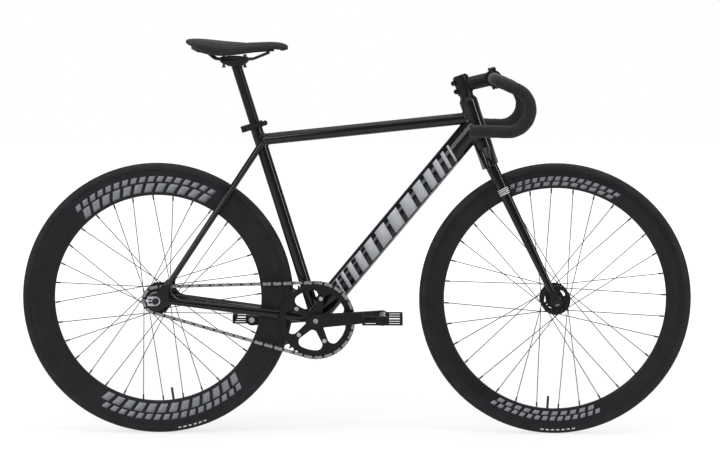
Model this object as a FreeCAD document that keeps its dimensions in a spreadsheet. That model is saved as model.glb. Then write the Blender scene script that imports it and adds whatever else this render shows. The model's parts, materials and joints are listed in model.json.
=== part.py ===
import FreeCAD, Part
import math
import os
from types import SimpleNamespace

import Sketcher

Vector = FreeCAD.Vector
Placement = FreeCAD.Placement
Rotation = FreeCAD.Rotation

# A brakeless fixed gear bicycle, in millimetres. +X is forward, +Y is the rider's left, +Z is up.
# The origin lies on the ground midway between the two axles. The drive side is at -Y.

sizes = {
    # tyres, inner tubes and rims
    "tyre_radius": 336.0,
    "tyre_width": 25.0,
    "tyre_tread": 1.8,
    "tyre_sidewall": 3.3,
    "tyre_bead_depth": 5.5,
    "tyre_bead_width": 3.4,
    "tube_wall": 0.9,
    "tube_gap": 0.3,
    "valve_radius": 3.0,
    "valve_reach": 30.0,
    "front_valve_angle": -93.5,
    "rear_valve_angle": -81.8,
    "rim_width": 23.0,
    "rim_hook": 2.5,
    "rim_wall": 1.6,
    "rim_flank": 12.0,
    "rim_nose_half": 6.0,
    "rim_nose_rise": 5.0,
    "front_rim_depth": 43.0,
    "rear_rim_depth": 61.0,
    # hubs, spokes and axles
    "spoke_count": 32,
    "spoke_crosses": 3,
    "spoke_radius": 1.0,
    "spoke_circle": 32.5,
    "nipple_radius": 2.0,
    "nipple_length": 11.0,
    "flange_radius": 36.5,
    "flange_thickness": 3.2,
    "flange_slots": 5,
    "front_flange_span": 62.0,
    "rear_flange_span": 64.0,
    "hub_barrel_radius": 15.0,
    "hub_end_radius": 17.3,
    "hub_bearing_radius": 13.0,
    "hub_bearing_width": 8.0,
    "hub_bore": 8.0,
    "front_hub_width": 100.0,
    "rear_hub_width": 120.0,
    "locknut_length": 5.0,
    "locknut_radius": 8.5,
    "front_axle_radius": 4.5,
    "rear_axle_radius": 5.0,
    "axle_nut_height": 9.0,
    "axle_nut_radius": 8.7,
    "axle_end": 6.0,
    "axle_end_step": 0.5,
    # drive train
    "chain_pitch": 12.7,
    "chain_roller": 3.875,
    "chain_pin": 1.85,
    "chain_plate_radius": 4.2,
    "chain_plate_thickness": 1.0,
    "chain_inner_half": 1.9,
    "chain_line": 43.0,
    "ring_teeth": 46,
    "sprocket_teeth": 16,
    "tooth_thickness": 3.0,
    "tooth_height": 3.6,
    "tooth_gap": 0.12,
    "tooth_tip": 2.6,
    "sprocket_wall": 4.0,
    "seat_tube_room": 62.0,
    "ring_window_radius": 75.0,
    "ring_tab_radius": 46.0,
    "bolt_circle": 55.0,
    "bolt_count": 5,
    "ring_bolt_radius": 4.0,
    "ring_bolt_head": 5.2,
    "crank_length": 165.0,
    "crank_angle": 4.8,
    "crank_root": 16.5,
    "crank_tip": 13.5,
    "crank_thickness": 13.0,
    "crank_inside": 61.0,
    "crank_boss": 17.0,
    "spider_thickness": 6.3,
    "spider_root": 11.0,
    "spider_tip": 8.0,
    "spindle_radius": 8.5,
    "spindle_square": 6.3,
    "spindle_reach": 58.0,
    "spindle_shoulder": 1.0,
    "crank_end_gap": 0.5,
    "crank_bolt_radius": 6.5,
    "crank_bolt_height": 7.0,
    "crank_bolt_socket": 3.0,
    "pedal_thread": 7.1,
    "pedal_shaft": 5.5,
    "pedal_flange": 2.0,
    "pedal_flange_thickness": 3.0,
    "pedal_width": 90.0,
    "pedal_length": 98.0,
    "pedal_height": 22.0,
    "pedal_plate": 3.0,
    "pedal_barrel": 12.0,
    "pedal_rim": 4.0,
    "pedal_side_gap": 4.0,
    "pedal_teeth": 6,
    # frame
    "bracket_drop": 49.0,
    "front_centre": 590.0,
    "shell_radius": 20.5,
    "shell_bore": 17.5,
    "shell_width": 68.0,
    "cup_flange_radius": 21.5,
    "cup_flange": 3.0,
    "cup_depth": 20.0,
    "seat_angle": 72.6,
    "seat_tube_length": 508.0,
    "seat_tube_radius": 15.0,
    "top_tube_height": 463.0,
    "top_tube_drop": 44.16,
    "top_tube_radius": 14.4,
    "tube_thickness": 1.6,
    "down_tube_depth": 57.0,
    "down_tube_width": 42.0,
    "down_tube_offset": 8.0,
    "head_angle": 71.0,
    "head_tube_length": 122.0,
    "head_tube_radius": 22.5,
    "head_tube_waist": 21.5,
    "head_tube_bore": 17.5,
    "head_tube_collar": 16.0,
    "head_bearing_radius": 20.4,
    "head_bearing_height": 7.0,
    "chain_stay_height": 24.0,
    "chain_stay_width": 16.0,
    "chain_stay_tip": 15.0,
    "chain_stay_root": 20.0,
    "chain_stay_lap": 10.0,
    "seat_stay_radius": 8.0,
    "seat_stay_root": 13.0,
    "seat_stay_height": 452.0,
    "seat_stay_lap": 8.0,
    "seat_stay_end": 10.0,
    "dropout_thickness": 6.5,
    "dropout_back": 17.0,
    "dropout_front": 32.0,
    "dropout_top": 40.0,
    "dropout_bottom": 25.0,
    "dropout_slot": 5.3,
    "dropout_slot_reach": 5.0,
    "tensioner_thickness": 2.8,
    "tensioner_radius": 11.5,
    "tensioner_screw": 2.2,
    "tensioner_cap": 3.0,
    "tensioner_head": 3.0,
    # fork and headset
    "fork_offset": 45.0,
    "crown_clearance": 31.0,
    "crown_height": 47.0,
    "crown_depth": 44.0,
    "crown_width": 88.0,
    "blade_depth": 30.0,
    "blade_width": 20.0,
    "blade_tip_depth": 17.0,
    "blade_tip_width": 13.0,
    "blade_root": 28.0,
    "blade_root_forward": 1.0,
    "blade_lap": 6.0,
    "blade_tip_back": 3.0,
    "blade_wall": 2.0,
    "fork_end_thickness": 6.0,
    "fork_end_radius": 13.0,
    "fork_slot": 4.8,
    "steerer_radius": 14.3,
    "steerer_wall": 2.4,
    "steerer_recess": 3.0,
    "headset_gap": 0.4,
    "headset_cover": 8.0,
    "spacer_radius": 17.0,
    "spacer_height": 9.0,
    # stem and bars
    "stem_clamp_height": 44.0,
    "stem_clamp_radius": 19.5,
    "stem_length": 76.0,
    "stem_drop_angle": 6.0,
    "stem_depth": 34.0,
    "stem_breadth": 30.0,
    "stem_bolt_radius": 3.5,
    "stem_bolt_head": 4.0,
    "stem_bolt_socket": 1.5,
    "stem_bolt_socket_depth": 2.0,
    "cap_height": 4.0,
    "cap_plug": 15.0,
    "cap_bevel": 2.0,
    "bar_clamp_radius": 15.9,
    "bar_clamp_wall": 4.6,
    "bar_clamp_width": 44.0,
    "faceplate_gap": 2.0,
    "bar_radius": 11.9,
    "bar_wall": 2.0,
    "bar_half_width": 200.0,
    "bar_corner_radius": 46.0,
    "bar_ramp": 53.0,
    "bar_ramp_angle": 23.5,
    "bar_hook_radius": 53.0,
    "bar_drop_angle": 1.7,
    "bar_drop_length": 85.0,
    "tape_radius": 15.3,
    "tape_start": 29.0,
    "plug_thickness": 4.0,
    # seatpost, clamp and saddle
    "seatpost_radius": 12.7,
    "seatpost_wall": 2.2,
    "seatpost_bottom": 395.0,
    "rail_height": 927.5,
    "rail_radius": 3.5,
    "rail_spacing": 44.0,
    "rail_nose_spacing": 22.0,
    "rail_flat": 92.0,
    "rail_bend": 22.0,
    "rail_tail_run": 24.0,
    "rail_tail_rise": 21.0,
    "rail_nose_run": 40.0,
    "rail_nose_rise": 16.0,
    "cradle_length": 70.0,
    "cradle_width": 56.0,
    "cradle_height": 18.0,
    "cradle_cap": 8.0,
    "cradle_bolt": 3.0,
    "saddle_back": 118.0,
    "saddle_length": 250.0,
    "saddle_width": 140.0,
    "saddle_top": 47.0,
    "saddle_shell": 4.0,
    "collar_radius": 19.6,
    "collar_height": 16.0,
    "collar_ear": 6.0,
    "collar_ear_reach": 36.0,
    "collar_slit": 3.0,
    "skewer_radius": 2.5,
    "skewer_nut": 5.0,
    "skewer_pin_end": 0.5,
    "lever_length": 58.0,
    "lever_width": 10.0,
    "lever_thickness": 5.0,
    "lever_gap": 1.0,
    "lever_rod_gap": 0.7,
    # clearances
    "running_gap": 0.05,
    "fit_gap": 0.03,
    "seat_gap": 0.3,
}

doc = FreeCAD.newDocument("FixedGearBike")
sheet = doc.addObject("Spreadsheet::Sheet", "Sizes")
for row, (name, number) in enumerate(sizes.items(), start=1):
    sheet.set("A%d" % row, name)
    sheet.set("B%d" % row, str(number))
    sheet.setAlias("B%d" % row, name)
doc.recompute()


class Size:
    # A number together with the sheet expression that gives it, so sums of sizes stay bound.
    def __init__(self, number, text):
        self.number = float(number)
        self.text = text

    def __float__(self):
        return self.number

    def __neg__(self):
        return Size(-self.number, "(-%s)" % self.text)

    def __add__(self, other):
        other = sized(other)
        return Size(self.number + other.number, "(%s + %s)" % (self.text, other.text))

    def __sub__(self, other):
        other = sized(other)
        return Size(self.number - other.number, "(%s - %s)" % (self.text, other.text))

    def __mul__(self, other):
        other = sized(other)
        return Size(self.number * other.number, "(%s * %s)" % (self.text, other.text))

    def __truediv__(self, other):
        other = sized(other)
        return Size(self.number / other.number, "(%s / %s)" % (self.text, other.text))

    def __radd__(self, other):
        return sized(other) + self

    def __rsub__(self, other):
        return sized(other) - self

    def __rmul__(self, other):
        return sized(other) * self


def sized(item):
    if isinstance(item, Size):
        return item
    return Size(item, repr(float(item)))


def root(size):
    return Size(math.sqrt(size.number), "sqrt(%s)" % size.text)


dim = SimpleNamespace(**{name: Size(sheet.get(name), "Sizes." + name) for name in sizes})
nodes = {}

# Helpers that make bound objects of the document


def bind(item, prop, size):
    setattr(item, prop, float(size))
    if isinstance(size, Size):
        item.setExpression(prop, size.text)


def node(label, item):
    item.Label = label
    nodes[label] = item
    return item


def turned_to(at, along, across=None):
    # A placement whose local Z runs along one direction and whose local X leans to another.
    z = Vector(along).normalize()
    guess = Vector(across) if across else (Vector(1, 0, 0) if abs(z.x) < 0.9 else Vector(0, 1, 0))
    x = (guess - z * guess.dot(z)).normalize()
    return Placement(Vector(at), Rotation(x, z.cross(x), z, "ZXY"))


def cylinder(name, radius, height, place):
    item = doc.addObject("Part::Cylinder", name)
    bind(item, "Radius", radius)
    bind(item, "Height", height)
    item.Placement = place
    return item


def cone(name, low, high, height, place):
    item = doc.addObject("Part::Cone", name)
    bind(item, "Radius1", low)
    bind(item, "Radius2", high)
    bind(item, "Height", height)
    item.Placement = place
    return item


def torus(name, ring, section, place):
    item = doc.addObject("Part::Torus", name)
    bind(item, "Radius1", ring)
    bind(item, "Radius2", section)
    item.Placement = place
    return item


def block(name, length, width, height, place):
    # A box whose placement is at the middle of its lower face.
    item = doc.addObject("Part::Box", name)
    bind(item, "Length", length)
    bind(item, "Width", width)
    bind(item, "Height", height)
    shift = Placement(Vector(-float(length) / 2, -float(width) / 2, 0), Rotation())
    item.Placement = place.multiply(shift)
    return item


def hexagon(name, radius, height, place):
    item = doc.addObject("Part::Prism", name)
    item.Polygon = 6
    bind(item, "Circumradius", radius)
    bind(item, "Height", height)
    item.Placement = place
    return item


def fuse(name, *pieces):
    item = doc.addObject("Part::MultiFuse", name)
    item.Shapes = list(pieces)
    item.Refine = True
    return item


def cut(name, base, *tools):
    for count, tool in enumerate(tools):
        item = doc.addObject("Part::Cut", "%s_cut_%d" % (name, count))
        item.Base = base
        item.Tool = tool
        base = item
    return base


def group(name, *pieces):
    item = doc.addObject("Part::Compound", name)
    item.Links = list(pieces)
    return item


def feature(name, shape):
    item = doc.addObject("Part::Feature", name)
    item.Shape = shape
    return item


def oval(name, major, minor, place):
    item = doc.addObject("Part::Ellipse", name)
    bind(item, "MajorRadius", major)
    bind(item, "MinorRadius", minor)
    item.Placement = place
    return item


def loft(name, *sections):
    item = doc.addObject("Part::Loft", name)
    item.Sections = list(sections)
    item.Solid = True
    item.Ruled = False
    return item


def arc_centre(start, end, radius, left, long):
    chord = end - start
    rise = math.sqrt(max(radius ** 2 - chord.Length ** 2 / 4, 0.0))
    side = Vector(-chord.y, chord.x, 0).normalize()
    return (start + end) * 0.5 + side * (rise if left != long else -rise)


def draw(sketch, outline):
    # A corner is (x, y), or (x, y, radius, turn) where an arc ends there. The turn is "left" or
    # "right", with "long" before it where the arc is more than a half circle.
    points = [Vector(float(corner[0]), float(corner[1]), 0) for corner in outline]
    count = len(points)
    ends = []
    first = sketch.GeometryCount
    for index in range(count):
        start = points[index]
        end = points[(index + 1) % count]
        corner = outline[(index + 1) % count]
        if len(corner) == 2:
            sketch.addGeometry(Part.LineSegment(start, end), False)
            ends.append((1, 2))
            continue
        left = corner[3].endswith("left")
        middle = arc_centre(start, end, float(corner[2]), left, corner[3].startswith("long"))
        circle = Part.Circle(middle, Vector(0, 0, 1), float(corner[2]))
        low, high = (start, end) if left else (end, start)
        begin = math.atan2(low.y - middle.y, low.x - middle.x)
        finish = math.atan2(high.y - middle.y, high.x - middle.x)
        if finish < begin:
            finish += 2 * math.pi
        sketch.addGeometry(Part.ArcOfCircle(circle, begin, finish), False)
        ends.append((1, 2) if left else (2, 1))
    for index in range(count):
        following = (index + 1) % count
        sketch.addConstraint(Sketcher.Constraint(
            "Coincident", first + index, ends[index][1], first + following, ends[following][0]))
    for index in range(count):
        for kind, value, axis in (("DistanceX", outline[index][0], -2), ("DistanceY", outline[index][1], -1)):
            if float(value) == 0.0:
                rule = Sketcher.Constraint("PointOnObject", first + index, ends[index][0], axis)
                sketch.addConstraint(rule)
                continue
            rule = Sketcher.Constraint(kind, -1, 1, first + index, ends[index][0], float(value))
            place = sketch.addConstraint(rule)
            if isinstance(value, Size):
                sketch.setExpression("Constraints[%d]" % place, value.text)
        corner = outline[(index + 1) % count]
        if len(corner) == 4:
            place = sketch.addConstraint(Sketcher.Constraint("Radius", first + index, float(corner[2])))
            if isinstance(corner[2], Size):
                sketch.setExpression("Constraints[%d]" % place, corner[2].text)


def sketched_body(name, outlines):
    body = doc.addObject("PartDesign::Body", name)
    sketch = body.newObject("Sketcher::SketchObject", name + "_outline")
    plane = [item for item in body.Origin.OriginFeatures if item.Role == "XZ_Plane"][0]
    sketch.AttachmentSupport = (plane, [""])
    sketch.MapMode = "FlatFace"
    for outline in outlines:
        draw(sketch, outline)
    return body, sketch


def turned(name, place, *outlines):
    # A body of revolution. Corners are (radius, distance along the axis).
    body, sketch = sketched_body(name, outlines)
    spin = body.newObject("PartDesign::Revolution", name + "_spin")
    spin.Profile = sketch
    spin.ReferenceAxis = (sketch, ["V_Axis"])
    spin.Angle = 360
    body.Tip = spin
    body.Placement = place
    return body


def plate(name, thickness, place, *outlines):
    # A flat plate. Corners are (x, z), and the plate runs from the placement towards -Y.
    body, sketch = sketched_body(name, outlines)
    pad = body.newObject("PartDesign::Pad", name + "_pad")
    pad.Profile = sketch
    bind(pad, "Length", thickness)
    body.Tip = pad
    body.Placement = place
    return body


def ring(name, inner, outer, low, high, place):
    return turned(name, place, [(inner, low), (outer, low), (outer, high), (inner, high)])


# Where the main points lie, from the driving sizes


def pitch_radius(teeth):
    return float(dim.chain_pitch) / (2 * math.sin(math.pi / float(teeth)))


ring_pitch = pitch_radius(dim.ring_teeth)
sprocket_pitch = pitch_radius(dim.sprocket_teeth)


def chain_units(stay):
    # The chain's length in pitches round both wheels, whose centres are this far apart.
    lean = math.asin((ring_pitch - sprocket_pitch) / stay)
    run = stay * math.cos(lean) / float(dim.chain_pitch)
    on_ring = (math.pi + 2 * lean) * float(dim.ring_teeth) / (2 * math.pi)
    on_sprocket = (math.pi - 2 * lean) * float(dim.sprocket_teeth) / (2 * math.pi)
    return run, on_ring, on_sprocket, 2 * run + on_ring + on_sprocket


def stay_for(links):
    # The axle slides in its track ends until this many links lie taut.
    low = ring_pitch - sprocket_pitch + 1
    high = 10 * float(dim.tyre_radius)
    for halving in range(60):
        middle = (low + high) / 2
        if chain_units(middle)[3] < links:
            low = middle
        else:
            high = middle
    return low


stay_goal = float(dim.tyre_radius + dim.seat_tube_room)
chain_links = 2 * round(chain_units(stay_goal)[3] / 2)
stay_length = stay_for(chain_links)
stay_run = math.sqrt(stay_length ** 2 - float(dim.bracket_drop) ** 2)
wheel_base = stay_run + float(dim.front_centre)
axle_height = float(dim.tyre_radius)

rear_hub_point = Vector(-wheel_base / 2, 0, axle_height)
front_hub_point = Vector(wheel_base / 2, 0, axle_height)
bracket_point = rear_hub_point + Vector(stay_run, 0, -float(dim.bracket_drop))

side_axis = Rotation(Vector(1, 0, 0), -90)    # local Z becomes +Y
half_turn = Rotation(Vector(0, 0, 1), 180)
upright = Vector(0, 1, 0)


def across_at(point):
    return Placement(point, side_axis)


# The steering frame has its Z up the steering axis and its X forward, level with the front axle.
steer_turn = Rotation(upright, float(dim.head_angle) - 90)
steer_point = front_hub_point - steer_turn.multVec(Vector(float(dim.fork_offset), 0, 0))
steer = Placement(steer_point, steer_turn)
# The seat frame has its Z up the seat tube, from the bottom bracket.
seat_turn = Rotation(upright, float(dim.seat_angle) - 90)
seat = Placement(bracket_point, seat_turn)
# The crank frame has its X along the right crank.
crank = Placement(bracket_point, Rotation(upright, -float(dim.crank_angle)))


def steer_at(x, y, z):
    return steer.multiply(Placement(Vector(float(x), float(y), float(z)), Rotation()))


def seat_at(x, y, z):
    return seat.multiply(Placement(Vector(float(x), float(y), float(z)), Rotation()))


# Wheels

rim_edge = dim.tyre_radius - dim.tyre_width * 0.76
channel_half = dim.rim_width / 2 - dim.rim_hook
channel_floor = rim_edge - dim.tyre_bead_depth - dim.seat_gap
cavity = dim.tyre_width / 2 - dim.tyre_sidewall
cavity_centre = dim.tyre_radius - dim.tyre_tread - cavity


def make_tyre(label, centre):
    half = dim.tyre_width / 2
    middle = dim.tyre_radius - half
    ledge = rim_edge + dim.seat_gap
    bead = rim_edge - dim.tyre_bead_depth
    bead_out = channel_half - dim.seat_gap
    bead_in = bead_out - dim.tyre_bead_width
    flank = root(half * half - (middle - ledge) * (middle - ledge))
    mouth = cavity_centre - root(cavity * cavity - bead_in * bead_in)
    node(label, turned(label, across_at(centre), [
        (bead, bead_in), (bead, bead_out), (ledge, bead_out), (ledge, flank),
        (ledge, -flank, half, "long right"), (ledge, -bead_out), (bead, -bead_out), (bead, -bead_in),
        (mouth, -bead_in), (mouth, bead_in, cavity, "long left")]))


def radial(centre, angle, reach):
    turn = math.radians(float(angle))
    way = Vector(math.cos(turn), 0, math.sin(turn))
    return turned_to(centre + way * float(reach), way)


def make_tube(label, centre, rim_inner, angle):
    section = cavity - dim.tube_gap
    skin = torus(label + "_skin", cavity_centre, section, across_at(centre))
    hollow = torus(label + "_hollow", cavity_centre, section - dim.tube_wall, across_at(centre))
    reach = rim_inner - dim.valve_reach
    stem_length = cavity_centre - section + dim.tube_wall - reach
    stem = cylinder(label + "_valve", dim.valve_radius, stem_length, radial(centre, angle, reach))
    node(label, cut(label, fuse(label + "_whole", skin, stem), hollow))


def make_rim(label, centre, rim_inner, angle):
    half = dim.rim_width / 2
    nose = rim_inner + dim.rim_nose_rise
    nose_half = dim.rim_nose_half
    nose_radius = (nose_half * nose_half + dim.rim_nose_rise * dim.rim_nose_rise) / (2 * dim.rim_nose_rise)
    shoulder = rim_edge - dim.rim_flank
    wall = dim.rim_wall
    inner_rise = dim.rim_nose_rise - wall
    inner_half = nose_half - wall
    inner_radius = (inner_half * inner_half + inner_rise * inner_rise) / (2 * inner_rise)
    roof = channel_floor - wall
    skin = [
        (rim_edge, half), (shoulder, half), (nose, nose_half), (nose, -nose_half, nose_radius, "left"),
        (shoulder, -half), (rim_edge, -half), (rim_edge, -channel_half), (channel_floor, -channel_half),
        (channel_floor, channel_half), (rim_edge, channel_half)]
    hollow = [
        (roof, half - wall), (shoulder, half - wall), (nose, inner_half),
        (nose, -inner_half, inner_radius, "left"), (shoulder, wall - half), (roof, wall - half)]
    whole = turned(label + "_section", across_at(centre), skin, hollow)
    hole = cylinder(label + "_valve_hole", dim.valve_radius + dim.seat_gap,
                    rim_edge - rim_inner + 2 * dim.rim_nose_rise, radial(centre, angle, rim_inner - dim.rim_nose_rise))
    node(label, cut(label, whole, hole))


def kidney(inner, outer, start, end, low, high):
    # A curved slot about the Y axis, with round ends.
    def at(radius, angle):
        return Vector(radius * math.cos(angle), low, radius * math.sin(angle))

    middle = (inner + outer) / 2
    swell = (outer - inner) / 2 / middle
    edges = [
        Part.Arc(at(inner, start), at(inner, (start + end) / 2), at(inner, end)).toShape(),
        Part.Arc(at(inner, end), at(middle, end + swell), at(outer, end)).toShape(),
        Part.Arc(at(outer, end), at(outer, (start + end) / 2), at(outer, start)).toShape(),
        Part.Arc(at(outer, start), at(middle, start - swell), at(inner, start)).toShape()]
    return Part.Face(Part.Wire(edges)).extrude(Vector(0, high - low, 0))


def hub_angle(index, side, valve_angle):
    # Spoke holes are evenly spaced in each flange, and the left flange is half a space further on.
    # They are counted from the valve, so it lies midway between two spokes.
    step = 4 * math.pi / float(dim.spoke_count)
    return math.radians(float(valve_angle)) + step * (index + (0.25 if side < 0 else 0.75))


def make_hub(label, centre, flange_span, hub_width, valve_angle):
    end = hub_width / 2 - dim.locknut_length - dim.seat_gap
    seat_end = end - dim.hub_bearing_width
    low = flange_span / 2 - dim.flange_thickness / 2
    high = flange_span / 2 + dim.flange_thickness / 2
    taper = low - dim.flange_thickness * 2
    bearing = dim.hub_bearing_radius + dim.fit_gap
    right = [
        (bearing, -end), (dim.hub_end_radius, -end), (dim.hub_end_radius, -high), (dim.flange_radius, -high),
        (dim.flange_radius, -low), (dim.hub_end_radius, -low), (dim.hub_barrel_radius, -taper)]
    left = [(radius, -along) for radius, along in reversed(right)]
    bore = [(bearing, seat_end), (dim.hub_bore, seat_end), (dim.hub_bore, -seat_end), (bearing, -seat_end)]
    whole = turned(label + "_shell", across_at(centre), right + left + bore)
    holes = []
    slot_turn = 2 * math.pi / float(dim.flange_slots)
    web = float(dim.spoke_circle - dim.hub_end_radius)
    for side in (-1, 1):
        bottom = side * float(flange_span) / 2 - float(dim.flange_thickness)
        for index in range(int(float(dim.spoke_count) / 2)):
            angle = hub_angle(index, side, valve_angle)
            spot = Vector(math.cos(angle), 0, math.sin(angle)) * float(dim.spoke_circle)
            holes.append(Part.makeCylinder(float(dim.spoke_radius + dim.seat_gap), 2 * float(dim.flange_thickness),
                                           spot + upright * bottom, upright))
        for index in range(int(float(dim.flange_slots))):
            start = slot_turn * (index + 0.2)
            inner = float(dim.hub_end_radius) + 0.3 * web
            outer = float(dim.hub_end_radius) + 0.72 * web
            top = bottom + 2 * float(dim.flange_thickness)
            holes.append(kidney(inner, outer, start, start + slot_turn * 0.6, bottom, top))
    tools = feature(label + "_holes", Part.Compound(holes))
    tools.Placement = Placement(centre, Rotation())
    node(label, cut(label, whole, tools))


def make_hub_bearings(label, centre, hub_width, axle_radius):
    end = hub_width / 2 - dim.locknut_length - dim.seat_gap
    pair = []
    width = dim.hub_bearing_width
    for side, low, high in (("right", -end, width - end), ("left", end - width, end)):
        pair.append(ring(label + "_" + side, axle_radius + dim.running_gap, dim.hub_bearing_radius,
                         low, high, across_at(centre)))
    node(label, group(label, *pair))


def make_spokes(label, centre, flange_span, rim_inner, valve_angle):
    # Each spoke has a head, an elbow through its flange hole, a straight run and a nipple at the rim.
    radius = float(dim.spoke_radius)
    half = float(flange_span) / 2
    thickness = float(dim.flange_thickness)
    clear = float(dim.seat_gap)
    sweep = 4 * math.pi / float(dim.spoke_count) * float(dim.spoke_crosses)
    lean = 1.4 * radius
    solids = []
    for side in (-1, 1):
        for index in range(int(float(dim.spoke_count) / 2)):
            outside = index % 2 == 0
            angle = hub_angle(index, side, valve_angle)
            far = angle + (sweep if outside else -sweep)
            hole = Vector(math.cos(angle), 0, math.sin(angle)) * float(dim.spoke_circle)
            gap = thickness / 2 + radius + (lean if outside else clear)
            start = hole + Vector(0, side * (half + gap if outside else half - gap), 0)
            rim = Vector(math.cos(far), 0, math.sin(far)) * (float(rim_inner) - 1.5 * clear)
            rim += Vector(0, side * radius, 0)
            run = rim - start
            way = Vector(run).normalize()
            inward = Vector(0, -side if outside else side, 0)
            elbow_length = gap + thickness / 2 + clear
            straight = Part.makeCylinder(radius, run.Length, start, way)
            elbow = Part.makeCylinder(radius, elbow_length, start, inward)
            knuckle = Part.makeSphere(radius, start)
            head = Part.makeCylinder(2 * radius, radius, start + inward * elbow_length, inward)
            nipple_start = rim - way * float(dim.nipple_length)
            nipple = Part.makeCylinder(float(dim.nipple_radius), float(dim.nipple_length), nipple_start, way)
            solids.append(straight.multiFuse([elbow, knuckle, head, nipple]))
    item = feature(label, Part.Compound([piece for shape in solids for piece in shape.Solids]))
    item.Placement = Placement(centre, Rotation())
    node(label, item)


def make_axle(label, centre, hub_width, axle_radius, stack):
    # A threaded axle with its two locknuts, a nut outside what it clamps at each end, and plain tips.
    inside = hub_width / 2 - dim.locknut_length
    outside = hub_width / 2
    nut_end = outside + stack + dim.axle_nut_height
    end = nut_end + dim.axle_end
    tip = axle_radius - dim.axle_end_step
    right = [(tip, -end), (tip, -nut_end), (axle_radius, -nut_end), (axle_radius, -outside),
             (dim.locknut_radius, -outside), (dim.locknut_radius, -inside), (axle_radius, -inside)]
    left = [(radius, -along) for radius, along in reversed(right)]
    rod = turned(label + "_rod", across_at(centre), [(0, -end)] + right + left + [(0, end)])
    pieces = [rod]
    for side in (-1, 1):
        near = float(outside + stack)
        base = near if side > 0 else -near - float(dim.axle_nut_height)
        spot = across_at(centre + Vector(0, base, 0))
        blank = hexagon("%s_nut_blank_%d" % (label, side), dim.axle_nut_radius, dim.axle_nut_height, spot)
        bore = cylinder("%s_nut_bore_%d" % (label, side), axle_radius + dim.fit_gap,
                        dim.axle_nut_height, spot)
        pieces.append(cut("%s_nut_%d" % (label, side), blank, bore))
    node(label, group(label, *pieces))


front_rim_inner = rim_edge - dim.front_rim_depth
rear_rim_inner = rim_edge - dim.rear_rim_depth
rear_stack = dim.dropout_thickness + dim.tensioner_thickness + 2 * dim.fit_gap
front_stack = dim.fork_end_thickness + dim.fit_gap
for end_name, hub_point, rim_inner, valve_angle, flange_span, hub_width, axle_radius, stack in (
        ("front", front_hub_point, front_rim_inner, dim.front_valve_angle, dim.front_flange_span,
         dim.front_hub_width, dim.front_axle_radius, front_stack),
        ("rear", rear_hub_point, rear_rim_inner, dim.rear_valve_angle, dim.rear_flange_span,
         dim.rear_hub_width, dim.rear_axle_radius, rear_stack)):
    make_tyre(end_name + "_tyre", hub_point)
    make_tube(end_name + "_inner_tube", hub_point, rim_inner, valve_angle)
    make_rim(end_name + "_rim", hub_point, rim_inner, valve_angle)
    make_spokes(end_name + "_spokes", hub_point, flange_span, rim_inner, valve_angle)
    make_hub(end_name + "_hub", hub_point, flange_span, hub_width, valve_angle)
    make_hub_bearings(end_name + "_hub_bearings", hub_point, hub_width, axle_radius)
    make_axle(end_name + "_axle", hub_point, hub_width, axle_radius, stack)

# Chain, chainring and sprocket

chain_lean = math.asin((ring_pitch - sprocket_pitch) / stay_length)
stay_way = bracket_point - rear_hub_point
stay_tilt = math.atan2(stay_way.z, stay_way.x)
upper_normal = stay_tilt + math.pi / 2 + chain_lean
lower_normal = stay_tilt - math.pi / 2 - chain_lean
run_units, ring_units, sprocket_units, all_units = chain_units(stay_length)


def polar(centre, radius, angle):
    return centre + Vector(math.cos(angle), 0, math.sin(angle)) * radius


def roller_place(unit):
    # The upper run forward, round the chainring, the lower run back and round the sprocket.
    if unit < run_units:
        start = polar(rear_hub_point, sprocket_pitch, upper_normal)
        end = polar(bracket_point, ring_pitch, upper_normal)
        return start + (end - start) * (unit / run_units)
    unit -= run_units
    if unit < ring_units:
        return polar(bracket_point, ring_pitch, upper_normal - unit * 2 * math.pi / float(dim.ring_teeth))
    unit -= ring_units
    if unit < run_units:
        start = polar(bracket_point, ring_pitch, lower_normal)
        end = polar(rear_hub_point, sprocket_pitch, lower_normal)
        return start + (end - start) * (unit / run_units)
    unit -= run_units
    turn = unit * 2 * math.pi / float(dim.sprocket_teeth)
    return polar(rear_hub_point, sprocket_pitch, lower_normal - turn)


def link_plate(low, hole):
    # A plate with two round ends one pitch apart, lying in the XZ plane.
    pitch = float(dim.chain_pitch)
    radius = float(dim.chain_plate_radius)
    waist = 0.78 * radius
    half = Vector(pitch / 2, 0, 0)
    shoulder = 0.5 * radius
    rise = math.sqrt(radius ** 2 - shoulder ** 2)
    corners = [Vector(pitch / 2 - shoulder, low, rise), Vector(pitch / 2 - shoulder, low, -rise)]
    others = [Vector(shoulder - pitch / 2, low, -rise), Vector(shoulder - pitch / 2, low, rise)]
    middle = Vector(0, low, 0)
    edges = [
        Part.Arc(corners[0], middle + half + Vector(radius, 0, 0), corners[1]).toShape(),
        Part.Arc(corners[1], middle + Vector(0, 0, -waist), others[0]).toShape(),
        Part.Arc(others[0], middle - half - Vector(radius, 0, 0), others[1]).toShape(),
        Part.Arc(others[1], middle + Vector(0, 0, waist), corners[0]).toShape()]
    solid = Part.Face(Part.Wire(edges)).extrude(Vector(0, float(dim.chain_plate_thickness), 0))
    if hole:
        for end in (half, half * -1):
            solid = solid.cut(Part.makeCylinder(hole, 4 * radius, end + Vector(0, low - radius, 0), upright))
    return solid


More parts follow.
